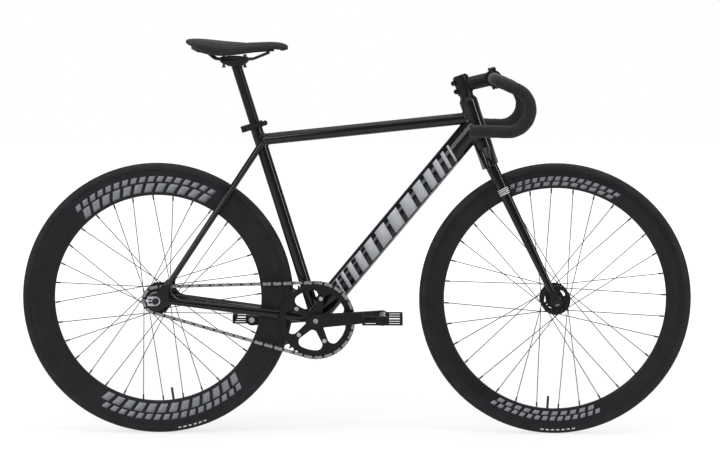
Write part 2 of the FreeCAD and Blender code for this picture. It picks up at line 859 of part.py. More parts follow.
def make_chain():
    inner = float(dim.chain_inner_half)
    thick = float(dim.chain_plate_thickness)
    half = Vector(float(dim.chain_pitch) / 2, 0, 0)
    pin = float(dim.chain_pin)
    hole = pin + 2 * float(dim.running_gap)
    outer = inner + thick + 3 * float(dim.running_gap)
    inner_parts = [link_plate(inner, hole), link_plate(-inner - thick, hole)]
    outer_parts = [link_plate(outer, 0), link_plate(-outer - thick, 0)]
    for end in (half, half * -1):
        roller = Part.makeCylinder(float(dim.chain_roller), 2 * inner, end - upright * inner, upright)
        inner_parts.append(roller.cut(Part.makeCylinder(hole, 2 * inner, end - upright * inner, upright)))
        reach = outer + thick + pin / 4
        outer_parts.append(Part.makeCylinder(pin, 2 * reach, end - upright * reach, upright))
    shapes = [parts[0].multiFuse(parts[1:]).Solids[0] for parts in (inner_parts, outer_parts)]
    links = []
    line = Vector(0, -float(dim.chain_line), 0)
    for index in range(chain_links):
        start = roller_place(float(index))
        end = roller_place(float((index + 1) % chain_links))
        way = end - start
        link = shapes[index % 2].copy()
        tilt = Rotation(upright, -math.degrees(math.atan2(way.z, way.x)))
        link.Placement = Placement((start + end) * 0.5 + line, tilt)
        links.append(link)
    node("chain", feature("chain", Part.Compound(links)))


def toothed(teeth, phase, thickness):
    # A toothed disc about the Y axis, its roller seats at the phase angle and every tooth after it.
    pitch = pitch_radius(teeth)
    seat = float(dim.chain_roller + dim.tooth_gap)
    tip = pitch + float(dim.tooth_height)
    step = 2 * math.pi / float(teeth)
    tip_turn = float(dim.tooth_tip) / 2 / tip
    flare = math.radians(20)
    edges = []
    low = -thickness / 2

    def flat(radius, angle):
        return Vector(radius * math.cos(angle), low, radius * math.sin(angle))

    def seat_point(angle, turn):
        # A point on the seat's rim, turned about the seat's centre from the inward direction.
        way = angle + math.pi + turn
        return flat(pitch, angle) + Vector(math.cos(way), 0, math.sin(way)) * seat

    for index in range(int(float(teeth))):
        angle = phase + index * step
        enter = seat_point(angle, math.pi / 2 - flare)
        leave = seat_point(angle, flare - math.pi / 2)
        next_enter = seat_point(angle + step, math.pi / 2 - flare)
        rise = flat(tip, angle + step / 2 - tip_turn)
        fall = flat(tip, angle + step / 2 + tip_turn)
        edges.append(Part.Arc(enter, seat_point(angle, 0), leave).toShape())
        edges.append(Part.LineSegment(leave, rise).toShape())
        edges.append(Part.Arc(rise, flat(tip, angle + step / 2), fall).toShape())
        edges.append(Part.LineSegment(fall, next_enter).toShape())
    return Part.Face(Part.Wire(edges)).extrude(Vector(0, thickness, 0))


make_chain()

bolt_turn = 2 * math.pi / float(dim.bolt_count)
ring_phase = upper_normal - (math.ceil(run_units) - run_units) * 2 * math.pi / float(dim.ring_teeth)
ring_blank = feature("chainring_blank", toothed(dim.ring_teeth, ring_phase, float(dim.tooth_thickness)))
ring_line = bracket_point - upright * float(dim.chain_line)
ring_blank.Placement = Placement(ring_line, Rotation())


def crank_at(angle, reach, y):
    way = Vector(math.cos(angle), 0, math.sin(angle)) * float(reach)
    return crank.multiply(Placement(way + Vector(0, float(y), 0), Rotation()))


def arm_outline(start, end, root_half, tip_half):
    # A tapered arm along X with a round end.
    return [(start, -root_half), (end, -tip_half), (end + tip_half, 0, tip_half, "left"),
            (end, tip_half, tip_half, "left"), (start, root_half)]


ring_out = -dim.chain_line - dim.tooth_thickness / 2
ring_in = dim.tooth_thickness / 2 - dim.chain_line
window = cylinder("chainring_window", dim.ring_window_radius, dim.tooth_thickness * 2,
                  Placement(bracket_point + upright * float(ring_out - dim.tooth_thickness / 2), side_axis))
tabs = []
ring_holes = []
bolts = []
spider = []
spider_in = ring_out - dim.fit_gap
spider_out = spider_in - dim.spider_thickness
for index in range(int(float(dim.bolt_count))):
    angle = bolt_turn * index
    tilt = Rotation(upright, -math.degrees(angle))
    turn = crank.multiply(Placement(Vector(), tilt))
    tab_place = turn.multiply(Placement(Vector(0, float(ring_in), 0), Rotation()))
    tab_foot = dim.ring_window_radius + dim.tooth_thickness
    tabs.append(plate("chainring_tab_%d" % index, dim.tooth_thickness, tab_place, [
        (dim.ring_tab_radius, -dim.spider_tip), (dim.bolt_circle + dim.spider_tip, -dim.spider_tip),
        (tab_foot, -2 * dim.spider_tip), (tab_foot, 2 * dim.spider_tip),
        (dim.bolt_circle + dim.spider_tip, dim.spider_tip), (dim.ring_tab_radius, dim.spider_tip)]))
    arm_place = turn.multiply(Placement(Vector(0, float(spider_in), 0), Rotation()))
    spider.append(plate("spider_arm_%d" % index, dim.spider_thickness, arm_place, arm_outline(
        sized(0) + dim.crank_boss / 2, dim.bolt_circle, dim.spider_root, dim.spider_tip)))
    hole_low = spider_out - dim.spider_thickness
    hole_place = turn.multiply(Placement(Vector(float(dim.bolt_circle), float(hole_low), 0), side_axis))
    ring_holes.append(cylinder("bolt_hole_%d" % index, dim.ring_bolt_radius + dim.fit_gap,
                               3 * dim.spider_thickness + 2 * dim.tooth_thickness, hole_place))
    head = dim.ring_bolt_head
    bolt_place = turn.multiply(Placement(Vector(float(dim.bolt_circle), 0, 0), side_axis))
    low = spider_out - dim.fit_gap
    high = ring_in + dim.fit_gap
    cap = dim.ring_bolt_radius / 2
    bolts.append(turned("chainring_bolt_%d" % index, bolt_place, [
        (0, low), (cap, low), (cap, low - cap), (head, low - cap), (head, low), (dim.ring_bolt_radius, low),
        (dim.ring_bolt_radius, high), (head, high), (head, high + cap), (0, high + cap)]))
bolt_holes = fuse("bolt_holes", *ring_holes)
node("chainring", cut("chainring", fuse("chainring_whole", cut("chainring_band", ring_blank, window), *tabs),
                      bolt_holes))

sprocket_count = math.ceil(2 * run_units + ring_units) - 2 * run_units - ring_units
sprocket_phase = lower_normal - sprocket_count * 2 * math.pi / float(dim.sprocket_teeth)
sprocket_blank = feature(
    "sprocket_teeth", toothed(dim.sprocket_teeth, sprocket_phase, float(dim.tooth_thickness)))
sprocket_point = rear_hub_point - upright * float(dim.chain_line)
sprocket_blank.Placement = Placement(sprocket_point, Rotation())
hub_thread = dim.hub_end_radius + dim.fit_gap
boss_end = dim.rear_flange_span / 2 + dim.flange_thickness / 2 + dim.seat_gap
boss = cylinder("sprocket_boss", dim.hub_end_radius + dim.sprocket_wall, dim.chain_line - boss_end,
                Placement(sprocket_point, side_axis))
sprocket_bore = cylinder("sprocket_bore", hub_thread, dim.chain_line,
                         Placement(sprocket_point - upright * float(dim.tooth_thickness), side_axis))
sprocket_body = cut("sprocket", fuse("sprocket_whole", sprocket_blank, boss), sprocket_bore)
sprocket_face = -dim.chain_line - dim.tooth_thickness / 2
lockring = ring("lockring", hub_thread, hub_thread + dim.sprocket_wall, sprocket_face - dim.sprocket_wall,
                sprocket_face - dim.fit_gap, across_at(rear_hub_point))
node("rear_sprocket", group("rear_sprocket", sprocket_body, lockring))

# Cranks, spindle and pedals

crank_out = dim.crank_inside + dim.crank_thickness
spindle_end = dim.spindle_reach + dim.crank_end_gap


def make_crank(label, side, extras, holes):
    # The arm lies outside the boss's inner part, and the square and pedal holes go through it.
    turn = crank if side < 0 else crank.multiply(Placement(Vector(), half_turn))
    near = -dim.crank_inside
    arm_place = turn.multiply(Placement(Vector(0, float(near), 0), Rotation()))
    arm = plate(label + "_arm", dim.crank_thickness, arm_place,
                arm_outline(sized(0), dim.crank_length, dim.crank_root, dim.crank_tip))
    boss_low = -crank_out
    boss_high = ring_out if side < 0 else -dim.chain_line - dim.tooth_thickness / 2
    boss = cylinder(label + "_boss", dim.crank_boss, boss_high - boss_low,
                    turn.multiply(Placement(Vector(0, float(boss_low), 0), side_axis)))
    whole = fuse(label + "_whole", arm, boss, *extras)
    square = 2 * (dim.spindle_square + dim.fit_gap)
    socket = block(label + "_square", square, square, dim.spindle_reach,
                   turn.multiply(Placement(Vector(0, -float(spindle_end), 0), side_axis)))
    recess_low = spindle_end + 2 * dim.crank_thickness
    recess = cylinder(label + "_recess", dim.crank_bolt_radius + dim.seat_gap, 2 * dim.crank_thickness,
                      turn.multiply(Placement(Vector(0, -float(recess_low), 0), side_axis)))
    pedal_low = near - 2 * dim.crank_thickness
    pedal_spot = Vector(float(dim.crank_length), float(pedal_low), 0)
    pedal_hole = cylinder(label + "_pedal_hole", dim.pedal_thread + dim.fit_gap, 3 * dim.crank_thickness,
                          turn.multiply(Placement(pedal_spot, side_axis)))
    return node(label, cut(label, whole, socket, recess, pedal_hole, *holes)), turn


right_crank, right_turn = make_crank("crank_right", -1, spider, [bolt_holes])
left_crank, left_turn = make_crank("crank_left", 1, [], [])

shaft_half = dim.shell_width / 2 + dim.cup_flange + dim.spindle_shoulder
spindle_parts = [cylinder("spindle_shaft", dim.spindle_radius, 2 * shaft_half,
                          crank.multiply(Placement(Vector(0, -float(shaft_half), 0), side_axis)))]
for side_name, low in (("right", -dim.spindle_reach), ("left", shaft_half)):
    spindle_parts.append(block("spindle_square_" + side_name, 2 * dim.spindle_square, 2 * dim.spindle_square,
                               dim.spindle_reach - shaft_half,
                               crank.multiply(Placement(Vector(0, float(low), 0), side_axis))))
node("bottom_bracket_spindle", fuse("bottom_bracket_spindle", *spindle_parts))

crank_bolt_parts = []
spindle_parts = []
pedal_start = crank_out + dim.pedal_side_gap
for side_name, turn in (("right", right_turn), ("left", left_turn)):
    bolt_low = -spindle_end - dim.crank_bolt_height
    bolt_place = turn.multiply(Placement(Vector(), side_axis))
    hollow = dim.crank_bolt_socket
    crank_bolt_parts.append(turned("crank_bolt_" + side_name, bolt_place, [
        (0, bolt_low + hollow), (hollow, bolt_low + hollow), (hollow, bolt_low),
        (dim.crank_bolt_radius, bolt_low), (dim.crank_bolt_radius, -spindle_end), (0, -spindle_end)]))
    pedal_place = turn.multiply(Placement(Vector(float(dim.crank_length), 0, 0), side_axis))
    flange = crank_out + dim.fit_gap
    far = -(pedal_start + dim.pedal_width - dim.pedal_plate * 2)
    collar = dim.pedal_thread + dim.pedal_flange
    flange_out = -flange - dim.pedal_flange_thickness
    spindle_parts.append(turned("pedal_spindle_" + side_name, pedal_place, [
        (0, -dim.crank_inside), (0, far), (dim.pedal_shaft, far), (dim.pedal_shaft, flange_out),
        (collar, flange_out), (collar, -flange), (dim.pedal_thread, -flange),
        (dim.pedal_thread, -dim.crank_inside)]))
node("crankset_bolts", group("crankset_bolts", *(bolts + crank_bolt_parts)))
node("pedal_spindles", group("pedal_spindles", *spindle_parts))


def make_pedal(label, turn):
    # A barrel on the spindle, two toothed cage plates fore and aft, and webs that carry them.
    level = Placement(turn.multVec(Vector(float(dim.crank_length), 0, 0)), Rotation())
    mirror = Rotation() if turn is right_turn else half_turn
    local = level.multiply(Placement(Vector(), mirror))
    start = -float(pedal_start)
    half = dim.pedal_length / 2 - dim.pedal_plate
    barrel = cylinder(label + "_barrel", dim.pedal_barrel, dim.pedal_width,
                      local.multiply(Placement(Vector(0, start - float(dim.pedal_width), 0), side_axis)))
    parts = [barrel]
    web = dim.pedal_height * 0.5
    near = dim.pedal_barrel + dim.pedal_rim
    far = half - dim.pedal_rim
    low = web - dim.pedal_rim
    outer = [(-half, -web), (half, -web), (half, web), (-half, web)]
    windows = [
        [(near, -low), (far, -low), (far, low), (near, low)],
        [(-far, -low), (-near, -low), (-near, low), (-far, low)]]
    for index, share in enumerate((0.0, 0.5, 1.0)):
        y = start - share * float(dim.pedal_width - dim.pedal_plate)
        parts.append(plate("%s_web_%d" % (label, index), dim.pedal_plate,
                           local.multiply(Placement(Vector(0, y, 0), Rotation())), outer, *windows))
    count = int(float(dim.pedal_teeth))
    pitch = dim.pedal_width / count
    tooth = dim.pedal_height / 2
    notch = tooth * 0.7
    for index, side in enumerate((-1, 1)):
        # The plate's outline runs along the pedal's width, with teeth on its upper and lower edges.
        outline = []
        for step in range(count):
            outline.append((pitch * step, -tooth))
            outline.append((pitch * (step + 0.5), -notch))
        outline.append((dim.pedal_width, -tooth))
        for step in range(count, 0, -1):
            outline.append((pitch * step, tooth))
            outline.append((pitch * (step - 0.5), notch))
        outline.append((sized(0), tooth))
        spot = Vector(side * float(half) + (float(dim.pedal_plate) if side > 0 else 0), start, 0)
        turn_side = Rotation(Vector(0, 0, 1), -90)
        parts.append(plate("%s_cage_%d" % (label, index), dim.pedal_plate,
                           local.multiply(Placement(spot, turn_side)), outline))
    whole = fuse(label + "_whole", *parts)
    blind_end = start - float(dim.pedal_width - 2 * dim.pedal_plate + dim.seat_gap)
    bore = cylinder(label + "_bore", dim.pedal_shaft + dim.running_gap, dim.pedal_width,
                    local.multiply(Placement(Vector(0, blind_end, 0), side_axis)))
    node(label, cut(label, whole, bore))


make_pedal("pedal_right", right_turn)
make_pedal("pedal_left", left_turn)

# Frame tubes, each cut to the outside of the tube that it is welded to

crown_reach = dim.tyre_radius + dim.crown_clearance
crown_low = root(crown_reach * crown_reach - dim.fork_offset * dim.fork_offset)
crown_top = crown_low + dim.crown_height
head_low = crown_top + dim.headset_gap
head_high = head_low + dim.head_tube_length
head_middle = float(head_low + head_high) / 2
head_skin = [
    (dim.head_tube_radius, head_low), (dim.head_tube_radius, head_low + dim.head_tube_collar),
    (dim.head_tube_waist, head_low + 2 * dim.head_tube_collar),
    (dim.head_tube_waist, head_high - 2 * dim.head_tube_collar),
    (dim.head_tube_radius, head_high - dim.head_tube_collar), (dim.head_tube_radius, head_high)]
bearing_seat = dim.head_bearing_radius + dim.fit_gap
seat_depth = dim.head_bearing_height + dim.seat_gap
upper_seat = head_high - seat_depth
lower_seat = head_low + seat_depth
node("head_tube", turned("head_tube", steer, head_skin + [
    (bearing_seat, head_high), (bearing_seat, upper_seat), (dim.head_tube_bore, upper_seat),
    (dim.head_tube_bore, lower_seat), (bearing_seat, lower_seat), (bearing_seat, head_low)]))
head_core = turned("head_core", steer, [(0, head_low)] + head_skin + [(0, head_high)])
steerer_bore = dim.steerer_radius + dim.running_gap
lower_bearing = ring("lower_bearing", steerer_bore, dim.head_bearing_radius, head_low + dim.seat_gap,
                     lower_seat, steer)
upper_bearing = ring("upper_bearing", steerer_bore, dim.head_bearing_radius, upper_seat,
                     head_high - dim.seat_gap, steer)
node("headset_bearings", group("headset_bearings", lower_bearing, upper_bearing))

shell_core = cylinder("shell_core", dim.shell_radius, dim.shell_width,
                      across_at(bracket_point - upright * (float(dim.shell_width) / 2)))
node("bottom_bracket_shell", ring("bottom_bracket_shell", dim.shell_bore, dim.shell_radius,
                                  -dim.shell_width / 2, dim.shell_width / 2, across_at(bracket_point)))
cups = []
for side_name, turn in (("right", Rotation(Vector(1, 0, 0), 90)), ("left", side_axis)):
    face = dim.shell_width / 2 + dim.fit_gap
    cup_out = face + dim.cup_flange
    cup_in = face - dim.cup_depth
    cup_bore = dim.spindle_radius + dim.running_gap
    cup_thread = dim.shell_bore - dim.fit_gap
    cups.append(turned("cup_" + side_name, Placement(bracket_point, turn), [
        (cup_bore, cup_out), (dim.cup_flange_radius, cup_out), (dim.cup_flange_radius, face),
        (cup_thread, face), (cup_thread, cup_in), (cup_bore, cup_in)]))
node("bottom_bracket_cups", group("bottom_bracket_cups", *cups))


steer_way = steer_turn.multVec(Vector(0, 0, 1))
seat_way = seat_turn.multVec(Vector(0, 0, 1))
head_point = steer.multVec(Vector(0, 0, head_middle))
top_start = seat.multVec(Vector(0, 0, float(dim.top_tube_height)))
top_end = steer.multVec(Vector(0, 0, float(head_high - dim.top_tube_drop)))
top_way = top_end - top_start

seat_core = cylinder("seat_core", dim.seat_tube_radius, dim.seat_tube_length, seat)
top_core = cylinder("top_core", dim.top_tube_radius, top_way.Length, turned_to(top_start, top_way))
top_hollow = cylinder("top_hollow", dim.top_tube_radius - dim.tube_thickness, top_way.Length,
                      turned_to(top_start, top_way))
down_start = bracket_point + Vector(0, 0, float(dim.down_tube_offset))
down_way = head_point - down_start
down_side = down_way.cross(upright)


def oval_tube(name, start, start_half, end, end_half, side, thinner):
    # A straight tube between two ovals. The first half size of each lies towards the side direction.
    way = end - start
    sections = []
    for label, point, half in (("start", start, start_half), ("end", end, end_half)):
        place = turned_to(point, way, side)
        sections.append(oval(name + "_" + label, half[0] - thinner, half[1] - thinner, place))
    return loft(name, *sections)


def oval_bar(name, major, minor, start, end, side):
    # A straight bar of one oval section. Its major axis lies towards the side direction.
    item = doc.addObject("Part::Extrusion", name)
    item.Base = oval(name + "_section", major, minor, turned_to(start, end - start, side))
    item.DirMode = "Normal"
    item.LengthFwd = (end - start).Length
    item.Solid = True
    return item


down_deep = dim.down_tube_depth / 2
down_wide = dim.down_tube_width / 2
down_core = oval_bar("down_core", down_deep, down_wide, down_start, head_point, down_side)
down_hollow = oval_bar("down_hollow", down_deep - dim.tube_thickness, down_wide - dim.tube_thickness,
                       down_start, head_point, down_side)
seat_bore = cylinder("seat_bore", dim.seatpost_radius + dim.running_gap,
                     dim.seat_tube_length + 2 * dim.shell_radius, seat_at(0, 0, -dim.shell_radius))
node("down_tube", cut("down_tube", down_core, down_hollow, head_core, shell_core))
node("seat_tube", cut("seat_tube", seat_core, down_core, shell_core, seat_bore))
node("top_tube", cut("top_tube", top_core, top_hollow, seat_core, head_core, down_core))

slot = dim.dropout_slot
slot_end = dim.dropout_slot_reach
dropout_outline = [
    (-dim.dropout_back, slot), (slot_end, slot), (slot_end + slot, 0, slot, "right"),
    (slot_end, -slot, slot, "right"), (-dim.dropout_back, -slot), (-dim.dropout_back, -2.2 * slot),
    (-slot, -dim.dropout_bottom), (dim.dropout_front / 2, -0.8 * dim.dropout_bottom),
    (dim.dropout_front, -1.6 * slot), (dim.dropout_front, 1.6 * slot), (dim.dropout_front, dim.dropout_top),
    (dim.dropout_front / 2, dim.dropout_top), (0, 3 * slot), (-dim.dropout_back, 2.2 * slot)]
hub_half = dim.rear_hub_width / 2
dropouts = {}
tensioners = []
for side_name, side in (("right", -1), ("left", 1)):
    near = hub_half if side < 0 else hub_half + dim.dropout_thickness
    label = "dropout_" + side_name
    place = Placement(rear_hub_point + upright * (side * float(near)), Rotation())
    dropouts[side] = node(label, plate(label, dim.dropout_thickness, place, dropout_outline))
    outer = hub_half + dim.dropout_thickness + dim.fit_gap
    near = outer if side < 0 else outer + dim.tensioner_thickness
    place = Placement(rear_hub_point + upright * (side * float(near)), Rotation())
    eye = dim.tensioner_radius
    leg = dim.dropout_back + dim.tensioner_cap
    mouth = dim.axle_nut_radius + dim.seat_gap
    strap = plate("tensioner_strap_" + side_name, dim.tensioner_thickness, place, [
        (-leg, -eye), (0, -eye), (eye, 0, eye, "left"), (0, eye, eye, "left"), (-leg, eye), (-leg, eye / 2),
        (-mouth, eye / 2), (-mouth, -eye / 2), (-leg, -eye / 2)])
    cap_width = dim.dropout_thickness + dim.tensioner_thickness + dim.fit_gap
    cap_middle = rear_hub_point + Vector(
        -float(dim.dropout_back) - float(dim.tensioner_cap) / 2 - float(dim.fit_gap),
        side * (float(hub_half) + float(cap_width) / 2), -float(eye))
    end_cap = block("tensioner_end_" + side_name, dim.tensioner_cap, cap_width, 2 * eye,
                    Placement(cap_middle, Rotation()))
    screw_line = rear_hub_point + upright * (side * float(hub_half + dim.dropout_thickness / 2))
    backward = Rotation(upright, -90)
    screw_hole = cylinder("tensioner_hole_" + side_name, dim.tensioner_screw + dim.seat_gap, 2 * leg,
                          Placement(screw_line, backward))
    axle_hole = cylinder("tensioner_bore_" + side_name, dim.rear_axle_radius + dim.seat_gap,
                         2 * dim.rear_hub_width, across_at(rear_hub_point - upright * float(dim.rear_hub_width)))
    tensioners.append(cut("tensioner_" + side_name, fuse("tensioner_whole_" + side_name, strap, end_cap),
                          axle_hole, screw_hole))
    screw_start = dim.rear_axle_radius + dim.seat_gap
    screw_back = leg + 2 * dim.fit_gap
    screw_end = screw_back + dim.tensioner_head
    tensioners.append(turned("tensioner_screw_" + side_name, Placement(screw_line, backward), [
        (0, screw_start), (dim.tensioner_screw, screw_start), (dim.tensioner_screw, screw_back),
        (2 * dim.tensioner_screw, screw_back), (2 * dim.tensioner_screw, screw_end), (0, screw_end)]))
node("chain_tensioners", group("chain_tensioners", *tensioners))

chain_half = (dim.chain_stay_height / 2, dim.chain_stay_width / 2)
chain_tip_half = (dim.chain_stay_tip / 2, dim.chain_stay_tip / 2 - 1)
stay_side = hub_half + dim.dropout_thickness - dim.chain_stay_tip / 2
for side_name, side in (("right", -1), ("left", 1)):
    start = bracket_point + upright * (side * float(dim.chain_stay_root))
    end = rear_hub_point + Vector(float(dim.dropout_front - dim.chain_stay_lap), side * float(stay_side), 0)
    label = "chain_stay_" + side_name
    up = Vector(0, 0, 1)
    core = oval_tube(label + "_core", start, chain_half, end, chain_tip_half, up, sized(0))
    hollow = oval_tube(label + "_hollow", start, chain_half, end, chain_tip_half, up, dim.tube_thickness)
    node(label, cut(label, core, hollow, shell_core, seat_core, down_core, dropouts[side]))
    start = seat.multVec(Vector(0, side * float(dim.seat_stay_root), float(dim.seat_stay_height)))
    tip = dim.seat_stay_radius - dim.tube_thickness
    end = rear_hub_point + Vector(
        float(dim.dropout_front - dim.seat_stay_lap), side * float(hub_half + dim.dropout_thickness - tip),
        float(dim.dropout_top - dim.seat_stay_end))
    label = "seat_stay_" + side_name
    way = end - start
    core = cone(label + "_core", dim.seat_stay_radius, tip, way.Length, turned_to(start, way))
    hollow = cone(label + "_hollow", dim.seat_stay_radius - dim.tube_thickness, tip - dim.tube_thickness,
                  way.Length, turned_to(start, way))
    node(label, cut(label, core, hollow, seat_core, top_core, dropouts[side]))

# Fork and headset


def steer_oval(name, major, minor, z):
    place = steer.multiply(turned_to(Vector(0, 0, float(z)), Vector(0, 0, 1), upright))
    return oval(name, major, minor, place)


crown_half = dim.crown_depth / 2
crown_body = loft(
    "crown_body", steer_oval("crown_top", dim.head_tube_radius, dim.head_tube_radius, crown_top),
    steer_oval("crown_shoulder", dim.crown_width * 0.4, crown_half, crown_top - dim.crown_height * 0.4),
    steer_oval("crown_waist", dim.crown_width / 2, crown_half, crown_top - dim.crown_height * 0.85),
    steer_oval("crown_foot", dim.crown_width / 2, crown_half, crown_low - dim.crown_height / 2))
wheel_space = cylinder("wheel_space", crown_reach, 2 * dim.crown_width,
                       across_at(front_hub_point - upright * float(dim.crown_width)))
crown_node = node("fork_crown", cut("fork_crown", crown_body, wheel_space))

fork_half = dim.front_hub_width / 2
blade_half = (dim.blade_depth / 2, dim.blade_width / 2)
blade_tip_half = (dim.blade_tip_depth / 2, dim.blade_tip_width / 2)
fork_end_out = fork_half + dim.fork_end_thickness
for side_name, side in (("right", -1), ("left", 1)):
    label = "fork_blade_" + side_name
    start = steer.multVec(Vector(
        float(dim.blade_root_forward), side * float(dim.blade_root), float(crown_low + dim.blade_lap)))
    end = steer.multVec(Vector(
        float(dim.fork_offset - dim.blade_tip_back), side * float(fork_half + dim.fork_end_thickness / 2),
        2 * float(dim.fork_end_radius)))
    forward = steer_turn.multVec(Vector(1, 0, 0))
    core = oval_tube(label + "_core", start, blade_half, end, blade_tip_half, forward, sized(0))
    hollow = oval_tube(label + "_hollow", start, blade_half, end, blade_tip_half, forward, dim.blade_wall)
    near = fork_half if side < 0 else fork_end_out
    place = Placement(front_hub_point + upright * (side * float(near)), steer_turn)
    wide = dim.fork_end_radius
    gap = dim.fork_slot
    end_plate = plate(label + "_end", dim.fork_end_thickness, place, [
        (gap, -wide), (gap, 0), (0, gap, gap, "left"), (-gap, 0, gap, "left"), (-gap, -wide),
        (-0.7 * wide, -wide), (-wide, -0.3 * wide), (-0.85 * wide, 2.3 * wide), (0.45 * wide, 2.3 * wide),
        (wide, -0.3 * wide), (0.7 * wide, -wide)])
    tube = cut(label + "_tube", core, hollow, crown_node)
    node(label, fuse(label, tube, end_plate))

stem_low = head_high + dim.headset_gap + dim.headset_cover + dim.spacer_height + 2 * dim.fit_gap
stem_high = stem_low + dim.stem_clamp_height
node("fork_steerer", ring("fork_steerer", dim.steerer_radius - dim.steerer_wall, dim.steerer_radius,
                          crown_top, stem_high - dim.steerer_recess, steer))
cover_low = head_high + dim.headset_gap
cover_high = cover_low + dim.headset_cover
cover = turned("headset_cover", steer, [
    (steerer_bore, cover_low), (dim.head_tube_radius, cover_low), (dim.spacer_radius, cover_high),
    (steerer_bore, cover_high)])
spacer = ring("spacer", steerer_bore, dim.spacer_radius, cover_high + dim.fit_gap,
              stem_low - dim.fit_gap, steer)
node("headset_spacers", group("headset_spacers", cover, spacer))
cap_low = stem_high + dim.fit_gap
plug = dim.steerer_radius - dim.steerer_wall - dim.fit_gap
plug_low = cap_low - dim.cap_plug
cap_top = cap_low + dim.cap_height
node("steerer_cap", turned("steerer_cap", steer, [
    (0, plug_low), (plug, plug_low), (plug, cap_low), (dim.spacer_radius, cap_low),
    (dim.spacer_radius, cap_low + dim.cap_height * 0.7), (dim.spacer_radius - dim.cap_bevel, cap_top),
    (0, cap_top)]))

# Stem, in a frame whose X runs from the steering axis to the bar

stem_middle = float(stem_low + stem_high) / 2
stem_turn = Rotation(upright, float(dim.stem_drop_angle))
stem_frame = steer.multiply(Placement(Vector(0, 0, stem_middle), stem_turn))
bar_point = stem_frame.multVec(Vector(float(dim.stem_length), 0, 0))
stem_way = stem_frame.Rotation.multVec(Vector(1, 0, 0))
bar_frame = Placement(bar_point, stem_frame.Rotation)


def bar_at(x, y, z, turn=Rotation()):
    return bar_frame.multiply(Placement(Vector(float(x), float(y), float(z)), turn))


clamp = cylinder("stem_clamp", dim.stem_clamp_radius, dim.stem_clamp_height, steer_at(0, 0, stem_low))
arm = oval_bar("stem_arm", dim.stem_depth / 2, dim.stem_breadth / 2, stem_frame.Base, bar_point, steer_way)
bar_jaw = dim.bar_clamp_radius + dim.bar_clamp_wall
jaw = cylinder("bar_jaw", bar_jaw, dim.bar_clamp_width,
               bar_at(0, -dim.bar_clamp_width / 2, 0, side_axis))
lug = 2.6 * dim.stem_bolt_radius
bolt_line = bar_jaw + dim.stem_bolt_radius / 2
lugs = []
jaw_bolts = []
lug_holes = []
bolt_spread = dim.bar_clamp_width / 2 - lug / 2
shank = dim.stem_bolt_radius * 0.7
forward_turn = Rotation(upright, 90)
for level in (-1, 1):
    for side in (-1, 1):
        tag = "%d_%d" % (level, side)
        y = side * float(bolt_spread)
        z = level * float(bolt_line)
        lugs.append(cylinder("jaw_lug_" + tag, lug / 2, 4 * dim.stem_bolt_radius,
                             bar_at(-2 * dim.stem_bolt_radius, y, z, forward_turn)))
        lug_holes.append(cylinder("jaw_hole_" + tag, shank + dim.fit_gap, 4 * bar_jaw,
                                  bar_at(-2 * bar_jaw, y, z, forward_turn)))
        # the head sits in a spot face cut into the jaw
        lug_holes.append(cylinder("jaw_seat_" + tag, dim.stem_bolt_radius + dim.seat_gap,
                                  2 * dim.stem_bolt_head, bar_at(2 * dim.stem_bolt_radius, y, z, forward_turn)))
        face = 2 * dim.stem_bolt_radius + dim.fit_gap
        head_end = face + dim.stem_bolt_head
        hollow_end = head_end - dim.stem_bolt_socket_depth
        jaw_bolts.append(turned("jaw_bolt_" + tag, bar_at(0, y, z, forward_turn), [
            (0, -face), (shank, -face), (shank, face), (dim.stem_bolt_radius, face),
            (dim.stem_bolt_radius, head_end), (dim.stem_bolt_socket, head_end),
            (dim.stem_bolt_socket, hollow_end), (0, hollow_end)]))
clamp_lugs = []
clamp_holes = []
clamp_bolts = []
lug_x = -dim.stem_clamp_radius - dim.stem_bolt_radius / 2
lug_half = dim.stem_clamp_radius * 0.62
for index, share in enumerate((0.27, 0.76)):
    z = stem_low + dim.stem_clamp_height * share
    spot = steer.multiply(Placement(Vector(float(lug_x), -float(lug_half), float(z)), side_axis))
    clamp_lugs.append(cylinder("clamp_lug_%d" % index, 1.7 * dim.stem_bolt_radius, 2 * lug_half, spot))
    hole_spot = Vector(float(lug_x), -2 * float(lug_half), float(z))
    clamp_holes.append(cylinder("clamp_hole_%d" % index, shank + dim.fit_gap, 4 * lug_half,
                                steer.multiply(Placement(hole_spot, side_axis))))
    near = -lug_half - dim.fit_gap
    head_end = near - dim.stem_bolt_head
    hollow_end = head_end + dim.stem_bolt_socket_depth
    clamp_bolts.append(turned("clamp_bolt_%d" % index, steer.multiply(
        Placement(Vector(float(lug_x), 0, float(z)), side_axis)), [
            (0, hollow_end), (dim.stem_bolt_socket, hollow_end), (dim.stem_bolt_socket, head_end),
            (dim.stem_bolt_radius, head_end), (dim.stem_bolt_radius, near), (shank, near), (shank, lug_half),
            (0, lug_half)]))
through = stem_low - dim.stem_clamp_height / 2
steerer_hole = cylinder("stem_steerer_hole", dim.steerer_radius + dim.fit_gap, 2 * dim.stem_clamp_height,
                        steer_at(0, 0, through))
bar_hole = cylinder("stem_bar_hole", dim.bar_clamp_radius + dim.fit_gap, 2 * dim.bar_clamp_width,
                    bar_at(0, -dim.bar_clamp_width, 0, side_axis))
slit_length = 2 * (dim.stem_clamp_radius - dim.steerer_radius + 2 * dim.stem_bolt_radius)
clamp_slit = block("stem_slit", slit_length, dim.faceplate_gap, 2 * dim.stem_clamp_height,
                   steer_at(lug_x, 0, through))
jaw_room = 2 * (bar_jaw + lug)
jaw_wide = 2 * dim.bar_clamp_width
front_space = block("jaw_front", jaw_room, jaw_wide, jaw_room,
                    bar_at((jaw_room - dim.faceplate_gap) / 2, 0, -jaw_room / 2))
back_space = block("jaw_back", jaw_room, jaw_wide, jaw_room,
                   bar_at((dim.faceplate_gap - jaw_room) / 2, 0, -jaw_room / 2))
